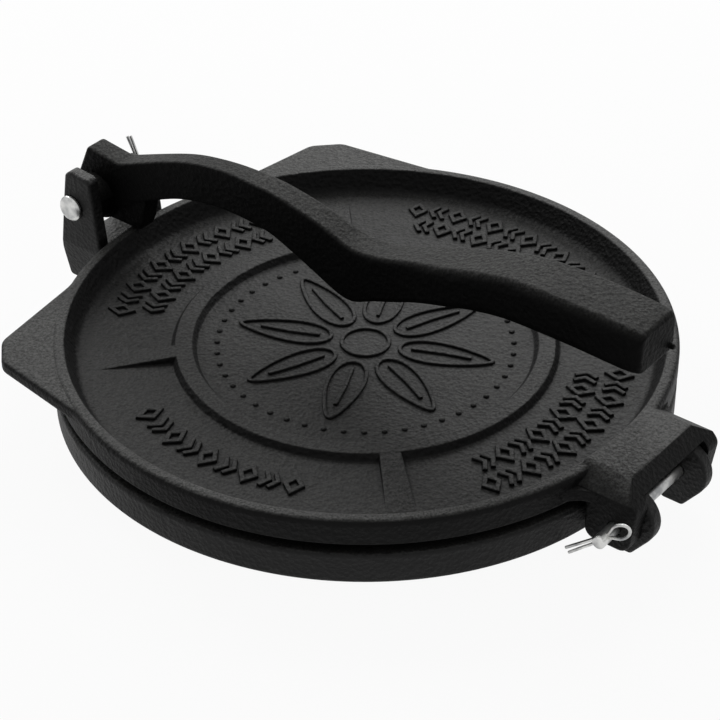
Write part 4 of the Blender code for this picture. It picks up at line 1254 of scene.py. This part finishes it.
    def build(self, finish: Finishes) -> None:
        """Builds the casting and dresses it.

        Args:
            finish: The press's finishes.
        """
        at = self.layout
        base = revolve("base_casting", self.profile())
        join(base, [self.rib(index) for index in range(self.rib_count)], Joining.ADD)
        join(base, [self.foot(index) for index in range(self.foot_count)], Joining.ADD)
        join(base, [self.notch(-1), self.notch(1)], Joining.CUT)
        join(base, [self.lug(-1), self.lug(1), self.clevis()], Joining.ADD)
        join(base, [at.lever_pin.bore(), at.hinge_pin.bore()], Joining.CUT)
        smooth(base)
        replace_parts(dress(base, finish.base, "base"), "base_plate")


@dataclass(frozen=True)
class Station:
    """One place along the lever, with the sizes of its section there as shares of the whole."""

    along: float
    top: float
    depth: float
    width: float
    facet: float


@dataclass
class PressLever:
    """The lever casting: hub, heel, pressing nose, arch, dip and faceted grip."""

    layout: Layout
    reach: float = 0.2880
    rise: float = 0.0500
    depth: float = 0.0200
    arm_width: float = 0.0112
    grip_width: float = 0.0270
    edge_share: float = 0.22
    facet_long: float = 0.34
    facet_short: float = 0.26
    end_round: float = 0.0016
    loft_steps: int = 150
    hub_width: float = 0.0304
    hub_radius: float = 0.0105
    hub_round: float = 0.0009
    head_radius: float = 0.0126
    head_end: float = math.radians(345)
    head_root: Corner = Corner(0.0210, 0.0194)
    heel: Corner = Corner(-0.0040, 0.0224, 0.0022)
    nose_side: tuple[Corner, ...] = (
        Corner(0, -0.00535), Corner(0.0063, -0.0107), Corner(0.0245, -0.0107, 0.0010),
        Corner(0.0271, -0.00535, 0.0030), Corner(0.0297, 0.0070), Corner(0, 0.0070))
    nose_half: float = 0.0046
    nose_edge: float = 0.0009
    stub_side: tuple[Corner, ...] = (
        Corner(0, 0.0022), Corner(0.0011, 0.0022, 0.0009), Corner(0.0013, -0.0030), Corner(0, -0.0030))
    stub_place: tuple[float, float] = (-0.0088, 0.0330)
    stations: tuple[Station, ...] = tuple(Station(*row) for row in (
        (0.000, 0.300, 0.800, 0.020, 0.00), (0.040, 0.385, 0.960, 0.010, 0.00),
        (0.060, 0.425, 1.000, 0.000, 0.00), (0.096, 0.508, 1.000, -0.040, 0.00),
        (0.157, 0.642, 0.950, -0.090, 0.00), (0.196, 0.710, 0.950, -0.105, 0.00),
        (0.236, 0.752, 0.960, -0.105, 0.00), (0.276, 0.774, 0.970, -0.070, 0.00),
        (0.318, 0.774, 0.980, 0.000, 0.00), (0.355, 0.766, 1.040, 0.020, 0.00),
        (0.396, 0.728, 1.160, 0.060, 0.02), (0.430, 0.688, 1.270, 0.080, 0.04),
        (0.467, 0.630, 1.360, 0.120, 0.08), (0.490, 0.586, 1.350, 0.170, 0.12),
        (0.512, 0.566, 1.290, 0.200, 0.16), (0.543, 0.582, 1.130, 0.230, 0.22),
        (0.577, 0.628, 1.060, 0.260, 0.32), (0.616, 0.702, 1.000, 0.400, 0.48),
        (0.656, 0.770, 0.950, 0.620, 0.68), (0.691, 0.828, 0.940, 0.740, 0.82),
        (0.722, 0.884, 0.945, 0.790, 0.90), (0.773, 0.956, 0.980, 0.860, 0.98),
        (0.808, 0.982, 1.000, 0.920, 1.00), (0.858, 0.992, 1.000, 0.990, 1.00),
        (0.906, 0.992, 1.005, 1.000, 1.00), (0.950, 0.984, 1.010, 0.985, 1.00),
        (0.982, 0.972, 0.990, 0.950, 1.00), (1.000, 0.955, 0.900, 0.860, 1.00)))

    def read(self, kind: str, place: float) -> float:
        """Reads one size on a smooth curve through the stations.

        Args:
            kind: The size's name in a station.
            place: The place along the lever, from 0 to 1.

        Returns:
            The size there.
        """
        rows = self.stations
        index = 0
        while index < len(rows) - 2 and place > rows[index + 1].along:
            index += 1
        ends = [rows[max(index - 1, 0)], rows[index], rows[index + 1], rows[min(index + 2, len(rows) - 1)]]
        spots = [row.along for row in ends]
        sizes = [getattr(row, kind) for row in ends]
        width = spots[2] - spots[1]
        share = (place - spots[1]) / width
        slope_in = (sizes[2] - sizes[0]) / (spots[2] - spots[0]) * width
        slope_out = (sizes[3] - sizes[1]) / (spots[3] - spots[1]) * width
        square = share * share
        cube = square * share
        return ((2 * cube - 3 * square + 1) * sizes[1] + (cube - 2 * square + share) * slope_in
                + (3 * square - 2 * cube) * sizes[2] + (cube - square) * slope_out)

    def section(self, place: float) -> list[tuple[float, float, float]]:
        """Gives one cross section.

        Args:
            place: The place along the lever, from 0 to 1.

        Returns:
            The points of the section round the lever.
        """
        top = self.rise * self.read("top", place)
        depth = self.depth * self.read("depth", place)
        half = (self.arm_width + (self.grip_width - self.arm_width) * self.read("width", place)) / 2
        facet = min(1.0, max(0.0, self.read("facet", place)))
        plain = self.edge_share * half
        ring = []
        for index, (side_x, side_z) in enumerate(((1, 1), (-1, 1), (-1, -1), (1, -1))):
            wide, tall = self.facet_short, self.facet_long
            if side_z < 0:
                wide, tall = tall, wide
            run_x = plain + (wide * half - plain) * facet
            run_z = plain + (tall * depth - plain) * facet
            corner_z = top if side_z > 0 else top - depth
            for step in range(7):
                angle = math.radians(90) * (index + step / 6)
                ring.append((side_x * (half - run_x) + run_x * math.cos(angle), self.reach * place,
                             corner_z - side_z * run_z + run_z * math.sin(angle)))
        return ring

    def arm(self) -> Object:
        """Lofts the arm from the pivot to the end of the grip, with a rounded end."""
        shape = bmesh.new()
        rings = []
        first = self.stations[1].along
        for index in range(self.loft_steps + 1):
            place = first + (1 - first) * index / self.loft_steps
            rings.append([shape.verts.new(point) for point in self.section(place)])
        skin(shape, rings, capped=True)
        bmesh.ops.recalc_face_normals(shape, faces=shape.faces)
        shape.faces.ensure_lookup_table()
        rim = list(shape.faces[-1].edges)
        bmesh.ops.bevel(shape, geom=rim, offset=self.end_round, segments=3, profile=0.5, affect="EDGES")
        return new_object("lever_casting", shape)

    def head(self) -> Object:
        """Makes the round head with its rounded heel, as wide as the arm."""
        heel = self.heel
        half = self.arm_width / 2
        start = math.atan2(heel.y, heel.x) + math.acos(self.head_radius / math.hypot(heel.x, heel.y))
        round_head = arc((0, 0), self.head_radius, start, self.head_end, 24)
        outline = rounded([self.head_root, heel, Corner(*round_head[0])])
        outline += round_head[1:] + [Vector((self.head_root.x, 0))]
        return side_slab("lever_head", outline, -half, half, self.end_round)

    def build(self, finish: Finishes) -> None:
        """Builds the casting and dresses it.

        Args:
            finish: The press's finishes.
        """
        pin = self.layout.lever_pin
        half = self.hub_width / 2
        nose = side_slab("lever_nose", rounded(self.nose_side, True), -self.nose_half, self.nose_half,
                         self.nose_edge)
        hub = revolve("lever_hub", rounded([
            Corner(0, half), Corner(self.hub_radius, half, self.hub_round),
            Corner(self.hub_radius, -half, self.hub_round), Corner(0, -half)]), 72)
        stub = revolve("gate_stub", rounded(self.stub_side), 24)
        x, z = self.stub_place
        others = [self.head(), nose, moved(hub, (0, 0, 0), 90, "Y"), moved(stub, (x, self.reach, z), -90, "X")]
        lever = moved(join(self.arm(), others, Joining.ADD), (0, pin.y, pin.z))
        join(lever, [pin.bore()], Joining.CUT)
        smooth(lever)
        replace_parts(dress(lever, finish.lever, "lever"), "press_lever")


@dataclass(frozen=True)
class SplitPin:
    """A split pin of half round wire: its place along X, its leg below the axis and its lean in degrees."""

    x: float
    leg: float
    tilt: float
    wire_radius: float = 0.00070
    inward_share: float = 0.92
    half_gap: float = 0.00010
    spread: float = 0.0003
    eye_half: float = 0.0028
    eye_length: float = 0.0105
    eye_steps: int = 24
    standoff: float = 0.0012

    def path(self, pin: PinPlace) -> list[Vector]:
        """Gives the wire's middle line from one leg's end over the eye to the other.

        Args:
            pin: The pin that it goes through.

        Returns:
            The path across and along the split pin.
        """
        side = self.wire_radius + self.half_gap
        eye_low = pin.radius + self.standoff
        middle = eye_low + self.eye_length / 2
        left = points((-side - self.spread, -self.leg), (-side - self.spread / 3, (-self.leg - pin.radius) / 2),
                      (-side, -pin.radius - self.standoff), (-side, eye_low - self.standoff / 2))
        eye = []
        for step in range(self.eye_steps + 1):
            angle = math.radians(200 - 220 * step / self.eye_steps)
            eye.append(Vector((self.eye_half * math.cos(angle), middle + self.eye_length / 2 * math.sin(angle))))
        return left + eye + [Vector((-p.x, p.y)) for p in reversed(left)]

    def build(self, name: str, pin: PinPlace) -> Object:
        """Bends the wire into the split pin.

        Args:
            name: The split pin's name.
            pin: The pin that it goes through.

        Returns:
            The split pin.
        """
        path = self.path(pin)
        shape = bmesh.new()
        rings = []
        for index, here in enumerate(path):
            along = (path[min(index + 1, len(path) - 1)] - path[max(index - 1, 0)]).normalized()
            across = Vector((0, -along.y, along.x))
            ring = []
            for step in range(12):
                angle = math.tau * step / 12
                share = 1.0 if math.cos(angle) > 0 else self.inward_share
                outward = self.wire_radius * math.cos(angle) * share
                point = Vector((0, here.x, here.y)) + across * outward
                ring.append(shape.verts.new(point + Vector((self.wire_radius * math.sin(angle), 0, 0))))
            rings.append(ring)
        skin(shape, rings, capped=True)
        return smooth(moved(new_object(name, shape), (self.x, pin.y, pin.z), self.tilt, "X"), 50.0)


@dataclass
class Fasteners:
    """The two headed pins, as radius and place along X, and the two split pins. They ride with the base."""

    layout: Layout
    lever_pin: tuple[Corner, ...] = (
        Corner(0, 0.0243), Corner(0.0045, 0.0241, 0.0080), Corner(0.0060, 0.0225, 0.0012),
        Corner(0.0060, 0.0213, 0.0003), Corner(0.0040, 0.0213), Corner(0.0040, -0.0268, 0.0007),
        Corner(0, -0.0268))
    hinge_pin: tuple[Corner, ...] = (
        Corner(0, 0.0417), Corner(0.0028, 0.0417, 0.0007), Corner(0.0028, -0.0308),
        Corner(0.0046, -0.0308, 0.0003), Corner(0.0046, -0.0332, 0.0014), Corner(0, -0.0332))
    lever_split: SplitPin = SplitPin(-0.0238, 0.0150, 205.0)
    hinge_split: SplitPin = SplitPin(0.0373, 0.0212, -48.0)

    def pin(self, name: str, profile: Sequence[Corner], pin: PinPlace) -> Object:
        """Turns a pin along X.

        Args:
            name: The pin's name.
            profile: Its outline, as radius and place along X.
            pin: Its place.

        Returns:
            The pin.
        """
        return smooth(moved(revolve(name, rounded(profile, False, 10.0), 64), (0, pin.y, pin.z), 90, "Y"))

    def build(self, finish: Finishes) -> None:
        """Builds the pins and dresses them.

        Args:
            finish: The press's finishes.
        """
        at = self.layout
        lever_pin = self.pin("lever_pin_bright", self.lever_pin, at.lever_pin)
        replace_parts(dress(lever_pin, finish.pin, "base"), "lever_pin")
        hinge_pin = self.pin("hinge_pin_bright", self.hinge_pin, at.hinge_pin)
        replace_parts(dress(hinge_pin, finish.pin, "base"), "hinge_pin")
        first = self.lever_split.build("lever_split_pin", at.lever_pin)
        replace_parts(dress(first, finish.wire, "base"), "lever_cotter")
        second = self.hinge_split.build("hinge_split_pin", at.hinge_pin)
        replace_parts(dress(second, finish.wire, "base"), "hinge_cotter")


# The studio

@dataclass(frozen=True)
class Lamp:
    """One soft square lamp that points at the press."""

    name: str
    place: tuple[float, float, float]
    size: float
    power: float

    def build(self) -> None:
        """Makes the lamp."""
        data = bpy.data.lights.new(self.name, "AREA")
        data.size = self.size
        data.energy = self.power
        item = bpy.data.objects.new(self.name, data)
        item.location = self.place
        item.rotation_euler = (-Vector(self.place)).to_track_quat("-Z", "Y").to_euler()
        bpy.context.scene.collection.objects.link(item)


@dataclass
class Studio:
    """The floor, the lamps, the surroundings and the camera at the photograph's angle."""

    camera_place: tuple[float, float, float] = (0.62406, 0.48929, 0.58482)
    camera_right: tuple[float, float, float] = (-0.617302, 0.786718, -0.003618)
    camera_up: tuple[float, float, float] = (-0.458760, -0.356225, 0.814029)
    camera_ahead: tuple[float, float, float] = (-0.639122, -0.504161, -0.580813)
    lens: float = 115.0
    nearest: float = 0.05
    floor_size: float = 3.0
    floor_drop: float = 0.0002
    room_light: float = 0.32
    lamps: tuple[Lamp, ...] = (
        Lamp("rear_lamp", (-0.98, -0.44, 0.80), 0.7, 13.0),
        Lamp("clevis_lamp", (-0.22, -1.05, 0.78), 0.5, 8.0))

    def surroundings(self) -> None:
        """Makes the floor and a pale room that shows as white."""
        shape = bmesh.new()
        bmesh.ops.create_grid(shape, x_segments=4, y_segments=4, size=self.floor_size)
        floor = moved(new_object("studio_floor", shape), (0, 0, -self.floor_drop))
        floor.data.materials.append(StudioPaper().make())
        world = bpy.data.worlds.new("studio_room")
        world.use_nodes = True
        tree = world.node_tree
        tree.nodes.clear()
        strength = add_node(tree, "ShaderNodeMapRange", {"Value": seen_share(tree), "To Min": self.room_light})
        back = add_node(tree, "ShaderNodeBackground", {"Color": (1, 1, 1, 1), "Strength": strength})
        add_node(tree, "ShaderNodeOutputWorld", {"Surface": back})
        bpy.context.scene.world = world

    def camera(self) -> None:
        """Makes the camera."""
        data = bpy.data.cameras.new("studio_camera")
        data.lens = self.lens
        data.clip_start = self.nearest
        camera = bpy.data.objects.new("studio_camera", data)
        turn = Matrix((self.camera_right, self.camera_up, [-v for v in self.camera_ahead])).transposed()
        camera.matrix_world = Matrix.Translation(self.camera_place) @ turn.to_4x4()
        bpy.context.scene.collection.objects.link(camera)
        bpy.context.scene.camera = camera

    def build(self) -> None:
        """Makes everything round the press."""
        bpy.context.scene.view_settings.view_transform = "Standard"
        self.surroundings()
        for lamp in self.lamps:
            lamp.build()
        self.camera()


def main() -> None:
    """Builds the press and the studio."""
    logging.basicConfig(level=logging.INFO, format="%(name)s: %(message)s")
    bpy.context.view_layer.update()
    layout = Layout()
    finish = Finishes()
    Studio().build()
    for casting in (BasePlate, UpperPlate, PressLever, Fasteners):
        casting(layout).build(finish)


if __name__ == "__main__":
    main()
